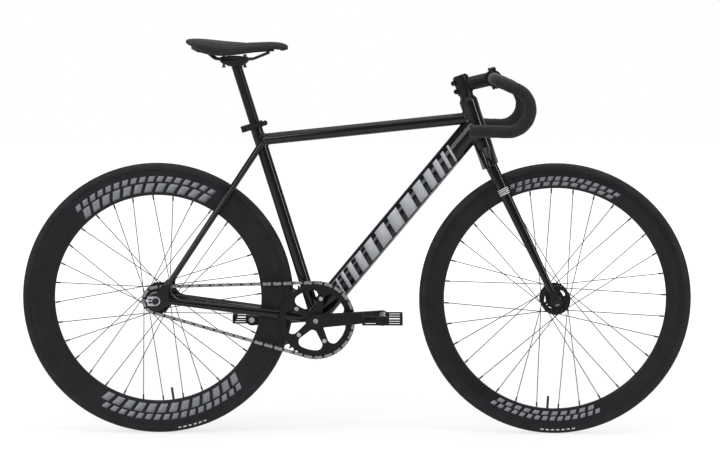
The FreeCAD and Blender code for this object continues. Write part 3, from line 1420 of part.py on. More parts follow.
jaw_whole = fuse("jaw_whole", jaw, *lugs)
stem_whole = fuse("stem_whole", clamp, arm, jaw_whole, *clamp_lugs)
node("stem", cut("stem", stem_whole, steerer_hole, bar_hole, front_space, clamp_slit,
                 *(lug_holes + clamp_holes)))
node("stem_faceplate", cut("stem_faceplate", jaw_whole, bar_hole, back_space, *lug_holes))
node("stem_bolts", group("stem_bolts", *(jaw_bolts + clamp_bolts)))

# Drop handlebar


def bar_edges(side, start_y):
    # Half of the bar's centre line: the flat, the corner, the ramp, the hook and the drop.
    ramp_turn = math.radians(float(dim.bar_ramp_angle))
    ramp = Vector(math.cos(ramp_turn), 0, -math.sin(ramp_turn))
    corner = float(dim.bar_corner_radius)
    out = upright * side
    flat_end = bar_point + out * (float(dim.bar_half_width) - corner)
    middle = flat_end + ramp * corner
    corner_mid = middle + (out - ramp) * (corner * math.sqrt(0.5))
    corner_end = middle + out * corner
    hook_start = bar_point + out * float(dim.bar_half_width) + ramp * float(dim.bar_ramp)
    hook = float(dim.bar_hook_radius)
    last = math.pi + math.radians(float(dim.bar_drop_angle))

    def hook_place(heading):
        return hook_middle + Vector(math.sin(heading), 0, math.cos(heading)) * hook

    hook_middle = hook_start - Vector(math.sin(ramp_turn), 0, math.cos(ramp_turn)) * hook
    hook_end = hook_place(last)
    drop_way = Vector(math.cos(last), 0, -math.sin(last))
    drop_end = hook_end + drop_way * float(dim.bar_drop_length)
    edges = [
        Part.LineSegment(bar_point + out * start_y, flat_end).toShape(),
        Part.Arc(flat_end, corner_mid, corner_end).toShape(),
        Part.LineSegment(corner_end, hook_start).toShape(),
        Part.Arc(hook_start, hook_place((ramp_turn + last) / 2), hook_end).toShape(),
        Part.LineSegment(hook_end, drop_end).toShape()]
    return edges, drop_end, drop_way


def sweep(name, radius, edges, start, way):
    spine = feature(name + "_line", Part.Wire(Part.sortEdges(edges)[0]))
    section = doc.addObject("Part::Circle", name + "_section")
    bind(section, "Radius", radius)
    section.Placement = turned_to(start, way)
    item = doc.addObject("Part::Sweep", name)
    item.Sections = [section]
    item.Spine = (spine, ["Edge%d" % (index + 1) for index in range(len(edges))])
    item.Solid = True
    item.Frenet = False
    return item


right_edges, right_drop, drop_way = bar_edges(-1, 0.0)
left_edges, left_drop, drop_way = bar_edges(1, 0.0)
halves = []
for side_name, edges, side in (("right", right_edges, -1), ("left", left_edges, 1)):
    core = sweep("bar_" + side_name, dim.bar_radius, edges, bar_point, upright * side)
    hollow = sweep("bar_hollow_" + side_name, dim.bar_radius - dim.bar_wall, edges, bar_point, upright * side)
    halves.append(core)
    halves.append(hollow)
    tape_edges = bar_edges(side, float(dim.tape_start))[0]
    tape_point = bar_point + upright * (side * float(dim.tape_start))
    wrap = sweep("tape_" + side_name, dim.tape_radius, tape_edges, tape_point, upright * side)
    inside = sweep("tape_inside_" + side_name, dim.bar_radius + dim.fit_gap, tape_edges, tape_point,
                   upright * side)
    node("bar_tape_" + side_name, cut("bar_tape_" + side_name, wrap, inside))
bulge_half = dim.tape_start - dim.fit_gap
bulge = cylinder("bar_bulge", dim.bar_clamp_radius, 2 * bulge_half,
                 Placement(bar_point - upright * float(bulge_half), side_axis))
node("handlebar", cut("handlebar", fuse("bar_whole", halves[0], halves[2], bulge), halves[1], halves[3]))
plugs = []
for side_name, drop in (("right", right_drop), ("left", left_drop)):
    stub = dim.bar_radius - dim.bar_wall - dim.fit_gap
    plugs.append(turned("plug_" + side_name, turned_to(drop, drop_way), [
        (0, -4 * dim.plug_thickness), (stub, -4 * dim.plug_thickness), (stub, dim.fit_gap),
        (dim.tape_radius, dim.fit_gap), (dim.tape_radius, dim.plug_thickness / 2),
        (dim.tape_radius - dim.plug_thickness / 2, dim.plug_thickness), (0, dim.plug_thickness)]))
node("bar_end_plugs", group("bar_end_plugs", *plugs))

# Seatpost, its clamp and the seat collar

rail_reach = (float(dim.rail_height) - bracket_point.z) / math.sin(math.radians(float(dim.seat_angle)))
cradle_point = seat.multVec(Vector(0, 0, rail_reach))
split = dim.seat_gap / 2
cradle_base = Placement(cradle_point - Vector(0, 0, float(dim.cradle_height + split)), Rotation())
cradle_block = block("cradle_block", dim.cradle_length, dim.cradle_width, dim.cradle_height, cradle_base)
cradle_top = block("cradle_top", dim.cradle_length, dim.cradle_width, dim.cradle_cap,
                   Placement(cradle_point + Vector(0, 0, float(split)), Rotation()))
rail_holes = []
for side in (-1, 1):
    spot = cradle_point + Vector(-float(dim.cradle_length), side * float(dim.rail_spacing) / 2, 0)
    rail_holes.append(cylinder("rail_hole_%d" % side, dim.rail_radius + dim.fit_gap, 2 * dim.cradle_length,
                               Placement(spot, Rotation(upright, 90))))
cradle_bolts = []
bolt_holes_list = []
for index, way in enumerate((-1, 1)):
    spot = cradle_point + Vector(way * (float(dim.cradle_length) / 2 - 3 * float(dim.cradle_bolt)), 0, 0)
    top = split + dim.cradle_cap + dim.fit_gap
    bottom = -split - dim.cradle_height - dim.fit_gap
    bolt = dim.cradle_bolt
    bolt_holes_list.append(cylinder("cradle_hole_%d" % index, bolt + dim.fit_gap, 2 * (top - bottom),
                                    Placement(spot - Vector(0, 0, float(top - bottom)), Rotation())))
    cradle_bolts.append(turned("cradle_bolt_%d" % index, Placement(spot, Rotation()), [
        (0, top + bolt), (1.7 * bolt, top + bolt), (1.7 * bolt, top), (bolt, top), (bolt, bottom),
        (1.7 * bolt, bottom), (1.7 * bolt, bottom - bolt), (0, bottom - bolt)]))
cuts = rail_holes + bolt_holes_list
post_length = rail_reach - float(dim.seatpost_bottom)
post_core = cylinder("post_core", dim.seatpost_radius, post_length, seat_at(0, 0, dim.seatpost_bottom))
post_hollow = cylinder("post_hollow", dim.seatpost_radius - dim.seatpost_wall, post_length,
                       seat_at(0, 0, dim.seatpost_bottom))
above_side = 2 * dim.cradle_length
above = block("cradle_above", above_side, above_side, above_side, cradle_base)
node("seatpost", cut("seatpost", post_core, post_hollow, above))
node("seatpost_clamp", group("seatpost_clamp", cut("cradle_lower", cradle_block, *cuts),
                             cut("cradle_upper", cradle_top, *cuts)))
node("seatpost_bolts", group("seatpost_bolts", *cradle_bolts))

collar_low = dim.seat_tube_length - dim.collar_height
ear_x = -(dim.collar_radius + dim.collar_ear_reach) / 2
ear_length = dim.collar_ear_reach - dim.seat_tube_radius
ear_middle = -(dim.collar_ear_reach + dim.seat_tube_radius) / 2
ear_y = dim.collar_slit / 2 + dim.collar_ear / 2
band = ring("collar_band", dim.seat_tube_radius + dim.fit_gap, dim.collar_radius, collar_low,
            dim.seat_tube_length, seat)
ears = []
for side in (-1, 1):
    ears.append(block("collar_ear_%d" % side, ear_length, dim.collar_ear, dim.collar_height,
                      seat_at(ear_middle, side * float(ear_y), collar_low)))
slit_middle = -(dim.collar_ear_reach + dim.seat_tube_radius) / 2
slit = block("collar_slit_space", dim.collar_ear_reach, dim.collar_slit, 2 * dim.collar_height,
             seat_at(slit_middle, 0, collar_low - dim.collar_height / 2))
collar_bore = cylinder("collar_bore", dim.seat_tube_radius + dim.fit_gap, 3 * dim.collar_height,
                       seat_at(0, 0, collar_low - dim.collar_height))
skewer_z = collar_low + dim.collar_height / 2
skewer_line = seat.multiply(Placement(Vector(float(ear_x), 0, float(skewer_z)), side_axis))
skewer_low = skewer_line.multiply(Placement(Vector(0, 0, -2 * float(dim.collar_radius)), Rotation()))
skewer_hole = cylinder("skewer_hole", dim.skewer_radius + dim.fit_gap, 4 * dim.collar_radius, skewer_low)
node("seat_clamp_collar", cut("seat_clamp_collar", fuse("collar_whole", band, *ears), collar_bore, slit,
                              skewer_hole))

ear_face = dim.collar_slit / 2 + dim.collar_ear
cam = 2.2 * dim.skewer_radius
cam_y = ear_face + cam + dim.seat_gap
nut_face = ear_face + dim.fit_gap
nut_out = nut_face + dim.skewer_nut
nut = 2.5 * dim.skewer_radius
rod = turned("skewer_rod", skewer_line, [
    (0, -cam_y), (dim.skewer_radius, -cam_y), (dim.skewer_radius, nut_face), (nut, nut_face), (nut, nut_out),
    (0, nut_out)])
cam_frame = seat.multiply(Placement(Vector(float(ear_x), -float(cam_y), float(skewer_z)), Rotation()))
pin_half = dim.lever_width / 2 + dim.skewer_pin_end
pin = cylinder("skewer_pin", dim.skewer_radius, 2 * pin_half,
               cam_frame.multiply(Placement(Vector(0, 0, -float(pin_half)), Rotation())))
node("seat_clamp_skewer", fuse("seat_clamp_skewer", rod, pin))
lever_in = dim.collar_radius + dim.lever_gap - cam_y
lever_out = lever_in + dim.lever_thickness
lever_base = cam_frame.multiply(Placement(Vector(0, 0, -float(dim.lever_width) / 2), Rotation()))
lever_bar = plate("lever_bar", dim.lever_width, lever_base.multiply(Placement(Vector(), side_axis)), [
    (0, cam / 2), (cam, cam / 2), (2.2 * cam, -lever_in), (dim.lever_length, -lever_in),
    (dim.lever_length, -lever_out), (1.8 * cam, -lever_out), (0, -cam)])
cheeks = cylinder("lever_cheeks", cam, dim.lever_width, lever_base)
lever_bore = cylinder("lever_bore", dim.skewer_radius + dim.running_gap, 3 * dim.lever_width,
                      lever_base.multiply(Placement(Vector(0, 0, -float(dim.lever_width)), Rotation())))
rod_half = dim.skewer_radius + dim.seat_gap
rod_middle = dim.skewer_radius + dim.lever_rod_gap - 2 * cam
rod_room = block("lever_rod_room", 4 * cam, 4 * cam, 2 * rod_half,
                 cam_frame.multiply(Placement(Vector(float(rod_middle), 0, -float(rod_half)), Rotation())))
node("seat_clamp_lever", cut("seat_clamp_lever", fuse("lever_whole", lever_bar, cheeks), lever_bore,
                             rod_room))

# Saddle on its rails


def rail_line(side):
    # The rail's centre line: up at the back, level through the clamp and up to the nose.
    flat = float(dim.rail_flat) / 2
    wide = side * float(dim.rail_spacing) / 2
    narrow = side * float(dim.rail_nose_spacing) / 2
    tail = Vector(-flat - float(dim.rail_tail_run), wide, float(dim.rail_tail_rise))
    nose = Vector(flat + float(dim.rail_nose_run), narrow, float(dim.rail_nose_rise))
    points = [tail, Vector(-flat, wide, 0), Vector(flat, wide, 0), nose]
    bend = float(dim.rail_bend)
    edges = []
    last = points[0]
    for before, corner, after in zip(points, points[1:], points[2:]):
        back = (before - corner).normalize()
        ahead = (after - corner).normalize()
        half = back.getAngle(ahead) / 2
        reach = min(bend / math.tan(half), 0.45 * min((before - corner).Length, (after - corner).Length))
        start = corner + back * reach
        end = corner + ahead * reach
        inward = (back + ahead).normalize()
        radius = reach * math.tan(half)
        middle = corner + inward * (radius / math.sin(half) - radius)
        edges.append(Part.LineSegment(last, start).toShape())
        edges.append(Part.Arc(start, middle, end).toShape())
        last = end
    edges.append(Part.LineSegment(last, points[-1]).toShape())
    for edge in edges:
        edge.translate(cradle_point)
    return edges, points[0] + cradle_point, points[1] - points[0]


rails = []
for side_name, side in (("right", -1), ("left", 1)):
    edges, rail_start, rail_way = rail_line(side)
    rails.append(sweep("rail_" + side_name, dim.rail_radius, edges, rail_start, rail_way))
node("saddle_rails", group("saddle_rails", *rails))

# Stations along the saddle, from the tail to the nose: the share of the length, the share of the
# width, and the heights above the rails of the crown and of the skirt, as shares of the saddle's height.
stations = [
    (0.0, 0.46, 0.96, 0.80), (0.05, 0.88, 1.05, 0.52), (0.13, 1.0, 1.06, 0.40), (0.27, 0.94, 0.97, 0.20),
    (0.41, 0.71, 0.88, 0.18), (0.57, 0.47, 0.84, 0.30), (0.73, 0.345, 0.87, 0.40), (0.86, 0.30, 0.90, 0.44),
    (0.95, 0.22, 0.80, 0.49), (1.0, 0.09, 0.66, 0.53)]


def saddle_section(x, half, top, skirt, name):
    # A crowned section: a hollow underside, sides drawn in towards the skirt, and an arched top.
    tall = top - skirt
    foot = 0.82 * half
    shoulder = 0.74 * half

    def at(y, z):
        return Vector(x, y, z)

    edges = [
        Part.Arc(at(-foot, skirt), at(0, skirt + 0.5 * tall), at(foot, skirt)).toShape(),
        Part.Arc(at(foot, skirt), at(half, skirt + 0.5 * tall), at(shoulder, top - 0.13 * tall)).toShape(),
        Part.Arc(at(shoulder, top - 0.13 * tall), at(0, top), at(-shoulder, top - 0.13 * tall)).toShape(),
        Part.Arc(at(-shoulder, top - 0.13 * tall), at(-half, skirt + 0.5 * tall), at(-foot, skirt)).toShape()]
    return feature(name, Part.Wire(edges))


def shell_section(x, half, top, skirt, name):
    # The base plate lies just under the padding and follows its hollow.
    tall = top - skirt
    foot = 0.7 * half
    gap = float(dim.seat_gap)
    thick = float(dim.saddle_shell)
    side = skirt + 0.5 * tall * (1 - (foot / (0.82 * half)) ** 2) - 3 * gap
    crest = skirt + 0.5 * tall - 3 * gap

    def at(y, z):
        return Vector(x, y, z)

    edges = [
        Part.Arc(at(-foot, side), at(0, crest), at(foot, side)).toShape(),
        Part.LineSegment(at(foot, side), at(foot, side - thick)).toShape(),
        Part.Arc(at(foot, side - thick), at(0, crest - thick), at(-foot, side - thick)).toShape(),
        Part.LineSegment(at(-foot, side - thick), at(-foot, side)).toShape()]
    return feature(name, Part.Wire(edges))


cover_sections = []
shell_sections = []
for index, (along, share, top, skirt) in enumerate(stations):
    x = cradle_point.x - float(dim.saddle_back) + along * float(dim.saddle_length)
    half = share * float(dim.saddle_width) / 2
    high = cradle_point.z + top * float(dim.saddle_top)
    low = cradle_point.z + skirt * float(dim.saddle_top)
    cover_sections.append(saddle_section(x, half, high, low, "saddle_station_%d" % index))
    if 0.05 < along < 0.95:
        shell_sections.append(shell_section(x, half, high, low, "shell_station_%d" % index))
node("saddle_cover", loft("saddle_cover", *cover_sections))
node("saddle_shell", loft("saddle_shell", *shell_sections))

# Recompute, check every object and write one file for each sub-part

doc.recompute()
faults = [item.Name for item in doc.Objects if "Invalid" in item.State or "Error" in item.State]
faults += [label for label, item in nodes.items() if item.Shape.isNull() or not item.Shape.isValid()]
if faults:
    raise RuntimeError("these objects failed: " + ", ".join(faults))
os.makedirs("parts", exist_ok=True)
for label, item in nodes.items():
    item.Shape.exportStep("parts/%s.step" % label)
print("wrote %d sub-parts" % len(nodes))
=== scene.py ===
# Looks for the fixed gear bicycle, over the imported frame. Metres, +X forward, drive side towards -Y.
import json
import math
import bpy
import numpy as np
from mathutils import Matrix


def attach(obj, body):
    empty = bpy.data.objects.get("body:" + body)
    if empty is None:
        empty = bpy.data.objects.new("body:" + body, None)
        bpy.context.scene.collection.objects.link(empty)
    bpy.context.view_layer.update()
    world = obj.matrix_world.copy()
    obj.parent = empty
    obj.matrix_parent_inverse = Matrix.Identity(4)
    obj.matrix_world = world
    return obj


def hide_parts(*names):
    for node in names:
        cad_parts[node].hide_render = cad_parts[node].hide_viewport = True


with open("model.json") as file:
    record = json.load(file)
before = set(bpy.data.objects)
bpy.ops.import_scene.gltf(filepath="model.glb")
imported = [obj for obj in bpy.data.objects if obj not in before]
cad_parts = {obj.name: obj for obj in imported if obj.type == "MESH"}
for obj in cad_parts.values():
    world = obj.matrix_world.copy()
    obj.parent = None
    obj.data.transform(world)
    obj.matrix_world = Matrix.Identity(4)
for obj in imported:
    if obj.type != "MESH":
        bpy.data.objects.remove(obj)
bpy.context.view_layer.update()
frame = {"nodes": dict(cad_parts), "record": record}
scene = bpy.context.scene
slotOf = {part["node"]: part["material_slot"] for part in frame["record"]["subparts"]}
print("frame loaded,", len(frame["nodes"]), "nodes")

# main points and directions of the bicycle, the same as in the part's source
rearHub = np.array([-0.491172, 0.0, 0.336])
frontHub = np.array([0.491172, 0.0, 0.336])
bracket = np.array([-0.098828, 0.0, 0.287])
steerFoot = np.array([0.448623, 0.0, 0.321349])  # point of the steering axis nearest to the front axle
steerWay = np.array([-0.325568, 0.0, 0.945519])
seatWay = np.array([-0.299041, 0.0, 0.95424])
barPoint = np.array([0.336095, 0.0, 0.880314])
cradle = np.array([-0.299549, 0.0, 0.9275])  # middle of the saddle rails
acrossWay = np.array([0.0, 1.0, 0.0])
skyWay = np.array([0.0, 0.0, 1.0])
sides = ((-1, "right"), (1, "left"))
wheelHubs = (("front", frontHub), ("rear", rearHub))

# sizes of the solids that carry films and welds; a place on an axis is the distance from its main point
tubes = {
    "headRadius": 0.0216, "seatRadius": 0.015, "shellRadius": 0.0205,
    "topRadius": 0.0144, "topOnSeat": 0.463, "topOnHead": 0.48947,
    "downHalfTall": 0.0285, "downHalfWide": 0.021, "downFootUp": 0.008, "downOnHead": 0.47263,
    # chain stay: half height and half width, its root beside the bracket, its end ahead of the hub and aside
    "chainStayHalf": (0.0117, 0.0078), "chainStayRoot": 0.020, "chainStayEnd": (0.022, 0.059),
    # seat stay: radius, its top along the seat axis and aside, its foot from the hub
    "seatStayRadius": 0.00798, "seatStayTop": (0.452, 0.013), "seatStayFoot": (0.024, 0.0601, 0.030),
    # fork blade: top and tip forward of, aside of and along the steering axis, with half depth and half width
    "bladeTop": (0.001, 0.028, 0.37023), "bladeTip": (0.042, 0.053, 0.026),
    "bladeDeep": (0.015, 0.0085), "bladeWide": (0.010, 0.0065),
    # rim: its flank's outer radius, half widths and rounded nose; tyre: middle and radius of its section
    "rimOuter": 0.305, "rimOuterHalf": 0.0115, "rimInnerHalf": 0.006, "rimNose": 0.005,
    "frontRimInner": 0.274, "rearRimInner": 0.256, "tyreMiddle": 0.3235, "tyreRadius": 0.0125,
}


def unit(vectors):
    # each vector over its own length
    return vectors / np.linalg.norm(vectors, axis=-1, keepdims=True)


def wholeTurn(count):
    # equal steps of angle once round
    return np.linspace(0, 2 * math.pi, count, endpoint=False)


def linear(hexText):
    # sRGB hex to linear red, green, blue and an alpha of one
    value = np.array([int(hexText[k:k + 2], 16) for k in (1, 3, 5)]) / 255
    value = np.where(value <= 0.04045, value / 12.92, ((value + 0.055) / 1.055) ** 2.4)
    return (*value.tolist(), 1.0)


def addNode(tree, kind, sockets=None, **settings):
    # one node with its settings; a socket given as a link is joined, any other value is set on it
    made = tree.nodes.new("ShaderNode" + kind)
    for name, value in settings.items():
        setattr(made, name, value)
    for name, value in (sockets or {}).items():
        if isinstance(value, bpy.types.NodeSocket):
            tree.links.new(value, made.inputs[name])
        else:
            made.inputs[name].default_value = value
    return made


def startMaterial(name):
    made = bpy.data.materials.new(name)
    made.use_nodes = True
    tree = made.node_tree
    tree.nodes.clear()
    shader = addNode(tree, "BsdfPrincipled")
    addNode(tree, "OutputMaterial", {"Surface": shader.outputs[0]})
    where = addNode(tree, "TexCoord").outputs["Object"]
    return made, tree, shader, where


noiseSpan = (0.3, 0.7)  # most of a noise's values lie between these


def finishMaterial(tree, shader, finish, toneBy, roughBy, height):
    # one pattern mixes the two tones, one spreads the roughness, one stands out as relief in mm;
    # what is the same all over the surface is set on the shader itself
    toneSpan, roughSpan = finish.get("toneSpan", noiseSpan), finish.get("roughSpan", noiseSpan)
    blend = addNode(tree, "MapRange", {"Value": toneBy, "From Min": toneSpan[0], "From Max": toneSpan[1]})
    dark, pale = finish["tones"]
    tone = addNode(tree, "Mix", {0: blend.outputs[0], 6: linear(dark), 7: linear(pale)}, data_type="RGBA")
    rough = addNode(tree, "MapRange", {"Value": roughBy, "From Min": roughSpan[0], "From Max": roughSpan[1],
                                       "To Min": finish["rough"][0], "To Max": finish["rough"][1]})
    relief = addNode(tree, "Bump", {"Height": height, "Strength": finish["relief"],
                                    "Distance": finish["depth"] / 1000})
    tree.links.new(tone.outputs[2], shader.inputs["Base Color"])
    tree.links.new(rough.outputs[0], shader.inputs["Roughness"])
    tree.links.new(relief.outputs[0], shader.inputs["Normal"])
    for socket, value in finish.get("shader", {}).items():
        shader.inputs[socket].default_value = value


def makePiece(name, points, body, slot, look=None, wrap=(False, False), ends=False, out=None):
    # points[..., row, col] is one patch or a row of patches, and quads join neighbours in both directions.
    # A wrapped direction joins its last line to its first, ends closes the first and last row with a fan,
    # and faces turn outwards by the volume that they enclose, or along the directions in out.
    patches = points.reshape((-1,) + points.shape[-3:])
    count, rows, cols = patches.shape[:3]
    row = np.arange(rows if wrap[0] else rows - 1)[:, None]
    col = np.arange(cols if wrap[1] else cols - 1)
    here, below = row * cols, (row + 1) % rows * cols
    after = (col + 1) % cols
    quad = np.stack([here + col, below + col, below + after, here + after], -1).reshape(-1, 4)
    firsts = np.arange(count)[:, None] * rows * cols
    quads = (quad + firsts[..., None]).reshape(-1, 4)
    places = patches.reshape(-1, 3)
    fans = np.zeros((0, 3), int)
    if ends:
        ring = np.arange(cols)
        after = (ring + 1) % cols
        lasts = firsts + (rows - 1) * cols
        hub = len(places) + np.arange(count)[:, None] + 0 * ring
        fans = np.concatenate([np.stack([hub, firsts + ring, firsts + after], -1),
                               np.stack([hub + count, lasts + after, lasts + ring], -1)]).reshape(-1, 3)
        places = np.concatenate([places, patches[:, 0].mean(1), patches[:, -1].mean(1)])
    corners, tips = places[quads], places[fans]
    if out is None:
        halves = np.cross(corners[:, 1], corners[:, 2]) + np.cross(corners[:, 2], corners[:, 3])
        turned = (corners[:, 0] * halves).sum() + (tips[:, 0] * np.cross(tips[:, 1], tips[:, 2])).sum()
    else:
        facing = np.broadcast_to(out, points.shape).reshape(-1, 3)[quads[:, 0]]
        turned = (facing * np.cross(corners[:, 1] - corners[:, 0], corners[:, 3] - corners[:, 0])).sum()
    if turned < 0:
        quads, fans = quads[:, ::-1], fans[:, ::-1]
    mesh = bpy.data.meshes.new(name)
    mesh.from_pydata(places.tolist(), [], quads.tolist() + fans.tolist())
    mesh.polygons.foreach_set("use_smooth", np.ones(len(mesh.polygons), bool))
    mesh.update()
    mesh.materials.append(look or looks[finishOfSlot[slot]])
    piece = bpy.data.objects.new(name, mesh)
    scene.collection.objects.link(piece)
    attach(piece, body)
    return piece


def makeClosed(name, points, body, slot, look=None):
    # rows of closed lines, with both ends shut
    return makePiece(name, points, body, slot, look, wrap=(False, True), ends=True)


def throughPoints(knots, values, at):
    # a smooth curve through values at the knots: cubic pieces whose slopes are the knots' central differences
    slope = np.gradient(values, knots, axis=0)
    left = np.clip(np.searchsorted(knots, at, side="right") - 1, 0, len(knots) - 2)
    right = left + 1
    span = (knots[right] - knots[left])[:, None]
    done = (at - knots[left])[:, None] / span
    ahead = 1 - done
    return ((1 + 2 * done) * ahead ** 2 * values[left] + done * ahead ** 2 * span * slope[left]
            + done ** 2 * (3 - 2 * done) * values[right] - done ** 2 * ahead * span * slope[right])


def closedLine(points, count):
    # a smooth closed curve through the points, which overlap at both ends so that it joins without a kink
    overlap = 3
    lapped = np.concatenate([points[-overlap:], points, points[:overlap + 1]])
    knots = np.arange(-overlap, len(points) + overlap + 1.0)
    return throughPoints(knots, lapped, np.linspace(0, len(points), count, endpoint=False))


# camera at the photograph's angle
cameraView = {"place": (0.0935, -5.893, 1.031), "pitch": 5.02, "yaw": 0.82, "sensor": 36.0,
              "focalPixels": 2395.0, "framePixels": 720}
cameraData = bpy.data.cameras.new("photoCamera")
cameraData.sensor_width = cameraView["sensor"]
cameraData.lens = cameraView["focalPixels"] / cameraView["framePixels"] * cameraView["sensor"]
camera = bpy.data.objects.new("photoCamera", cameraData)
camera.location = cameraView["place"]
camera.rotation_euler = (math.radians(90 - cameraView["pitch"]), 0.0, math.radians(cameraView["yaw"]))
scene.collection.objects.link(camera)
scene.camera = camera
scene.view_settings.view_transform = "Standard"

# studio: a white paper floor, a white background behind it, a dim room and soft boxes
studio = {
    "paper": "#ffffff", "paperGlow": 0.64, "paperLit": 0.4, "paperReach": 14.0,
    "paperRings": 9, "paperSpokes": 48, "paperInner": 0.02,
    "fibre": 2.5, "fibreShade": 0.99,  # fleck in mm, and the tone between flecks
    "paperMirror": (1.4, 3.2),  # gloss sees white floor to the first distance, the dim room past the second
    "paperFar": (1.2, 3.5),  # between these distances the floor's glow climbs to the background's
    "room": "#dfe4ea", "roomStrength": 0.3,
    "mirrored": 0.5,  # share of the background that gloss and glass see
    "mirroredFrom": (0.1, 0.6),  # that share sets in between these headings, 1 being straight behind
    # name: place, aim, size across, size up, watts
    "boxes": {
        "overhead": ((0.1, -0.4, 3.6), (0.0, 0.0, 0.5), 5.5, 4.0, 110.0),
        "cameraSide": ((-1.6, -4.6, 2.3), (0.0, 0.0, 0.5), 2.2, 2.2, 60.0),
        "frontStrip": ((3.3, -1.9, 1.3), (0.2, 0.0, 0.6), 0.35, 2.4, 42.0),
        "rearStrip": ((-3.3, -1.2, 1.5), (-0.2, 0.0, 0.6), 0.6, 2.2, 30.0),
        "farSide": ((1.6, 4.6, 2.6), (0.0, 0.0, 0.5), 2.2, 2.2, 45.0)},
}

# the lens sees white all round; gloss and glass see it behind the bicycle and the room on the camera's side
world = bpy.data.worlds.new("studioRoom")
world.use_nodes = True
tree = world.node_tree
tree.nodes.clear()
path = addNode(tree, "LightPath")
gloss = addNode(tree, "Math", {0: path.outputs["Is Glossy Ray"], 1: path.outputs["Is Transmission Ray"]},
                operation="MAXIMUM")
sky = addNode(tree, "SeparateXYZ", {0: addNode(tree, "TexCoord").outputs["Generated"]})
behind = addNode(tree, "MapRange", {"Value": sky.outputs["Y"], "From Min": studio["mirroredFrom"][0],
                                    "From Max": studio["mirroredFrom"][1], "To Max": studio["mirrored"]})
gloss = addNode(tree, "Math", {0: gloss.outputs[0], 1: behind.outputs[0]}, operation="MULTIPLY")
seen = addNode(tree, "Math", {0: path.outputs["Is Camera Ray"], 1: gloss.outputs[0]}, operation="MAXIMUM")
strength = addNode(tree, "MapRange", {"Value": seen.outputs[0], "To Min": studio["roomStrength"]})
tone = addNode(tree, "Mix", {0: seen.outputs[0], 6: linear(studio["room"]), 7: linear(studio["paper"])},
               data_type="RGBA")
room = addNode(tree, "Background", {"Color": tone.outputs[2], "Strength": strength.outputs[0]})
addNode(tree, "OutputWorld", {"Surface": room.outputs[0]})
scene.world = world

# seamless paper: the lens, gloss and glass see it white, and its own diffuse part holds the shadow
paper = bpy.data.materials.new("seamlessPaper")
paper.use_nodes = True
tree = paper.node_tree
tree.nodes.clear()
path = addNode(tree, "LightPath")
gloss = addNode(tree, "Math", {0: path.outputs["Is Glossy Ray"], 1: path.outputs["Is Transmission Ray"]},
                operation="MAXIMUM")
where = addNode(tree, "TexCoord").outputs["Object"]
away = addNode(tree, "VectorMath", {0: where}, operation="LENGTH").outputs["Value"]
near = addNode(tree, "MapRange", {"Value": away, "From Min": studio["paperMirror"][0], "To Min": 1.0,
                                  "From Max": studio["paperMirror"][1], "To Max": studio["roomStrength"]})
gloss = addNode(tree, "Math", {0: gloss.outputs[0], 1: near.outputs[0]}, operation="MULTIPLY")
seen = addNode(tree, "Math", {0: path.outputs["Is Camera Ray"], 1: gloss.outputs[0]}, operation="MAXIMUM")
level = addNode(tree, "MapRange", {"Value": away, "From Min": studio["paperFar"][0],
                                   "From Max": studio["paperFar"][1], "To Min": studio["paperGlow"]})
glow = addNode(tree, "Math", {0: seen.outputs[0], 1: level.outputs[0]}, operation="MULTIPLY")
fibre = addNode(tree, "TexNoise", {"Vector": where, "Scale": 1000 / studio["fibre"], "Detail": 2.0})
tint = addNode(tree, "MapRange", {"Value": fibre.outputs["Fac"], "From Min": noiseSpan[0],
                                  "From Max": noiseSpan[1], "To Max": studio["paperLit"],
                                  "To Min": studio["paperLit"] * studio["fibreShade"]})
lit = addNode(tree, "BsdfDiffuse", {"Color": tint.outputs[0]})
shine = addNode(tree, "Emission", {"Color": linear(studio["paper"]), "Strength": glow.outputs[0]})
both = addNode(tree, "AddShader", {0: lit.outputs[0], 1: shine.outputs[0]})
addNode(tree, "OutputMaterial", {"Surface": both.outputs[0]})

# the floor is a round sheet, rings by spokes, with the rings closer together near the middle
ringShares = np.linspace(studio["paperInner"], 1, studio["paperRings"]) ** 2
reach, turn = np.meshgrid(ringShares * studio["paperReach"], wholeTurn(studio["paperSpokes"]), indexing="ij")
sheet = np.stack([reach * np.cos(turn), reach * np.sin(turn), 0 * reach], -1)
index = np.arange(reach.size).reshape(reach.shape)
after = np.roll(index, -1, axis=1)
quads = np.stack([index[:-1], index[1:], after[1:], after[:-1]], -1).reshape(-1, 4)
floorMesh = bpy.data.meshes.new("paperFloor")
floorMesh.from_pydata(sheet.reshape(-1, 3).tolist(), [], quads.tolist() + [index[0].tolist()])
floorMesh.materials.append(paper)
floor = bpy.data.objects.new("paperFloor", floorMesh)
scene.collection.objects.link(floor)

for boxName, (place, aim, wide, tall, watts) in studio["boxes"].items():
    lampData = bpy.data.lights.new(boxName, "AREA")
    lampData.shape = "RECTANGLE"
    lampData.size, lampData.size_y, lampData.energy = wide, tall, watts
    lamp = bpy.data.objects.new(boxName, lampData)
    back = unit(np.array(place) - np.array(aim))
    level = unit(np.cross(skyWay, back))
    axes = np.stack([level, np.cross(back, level), back, np.array(place)], 1)
    lamp.matrix_world = Matrix([*axes.tolist(), [0.0, 0.0, 0.0, 1.0]])
    scene.collection.objects.link(lamp)
print("camera, paper and lamps in place")

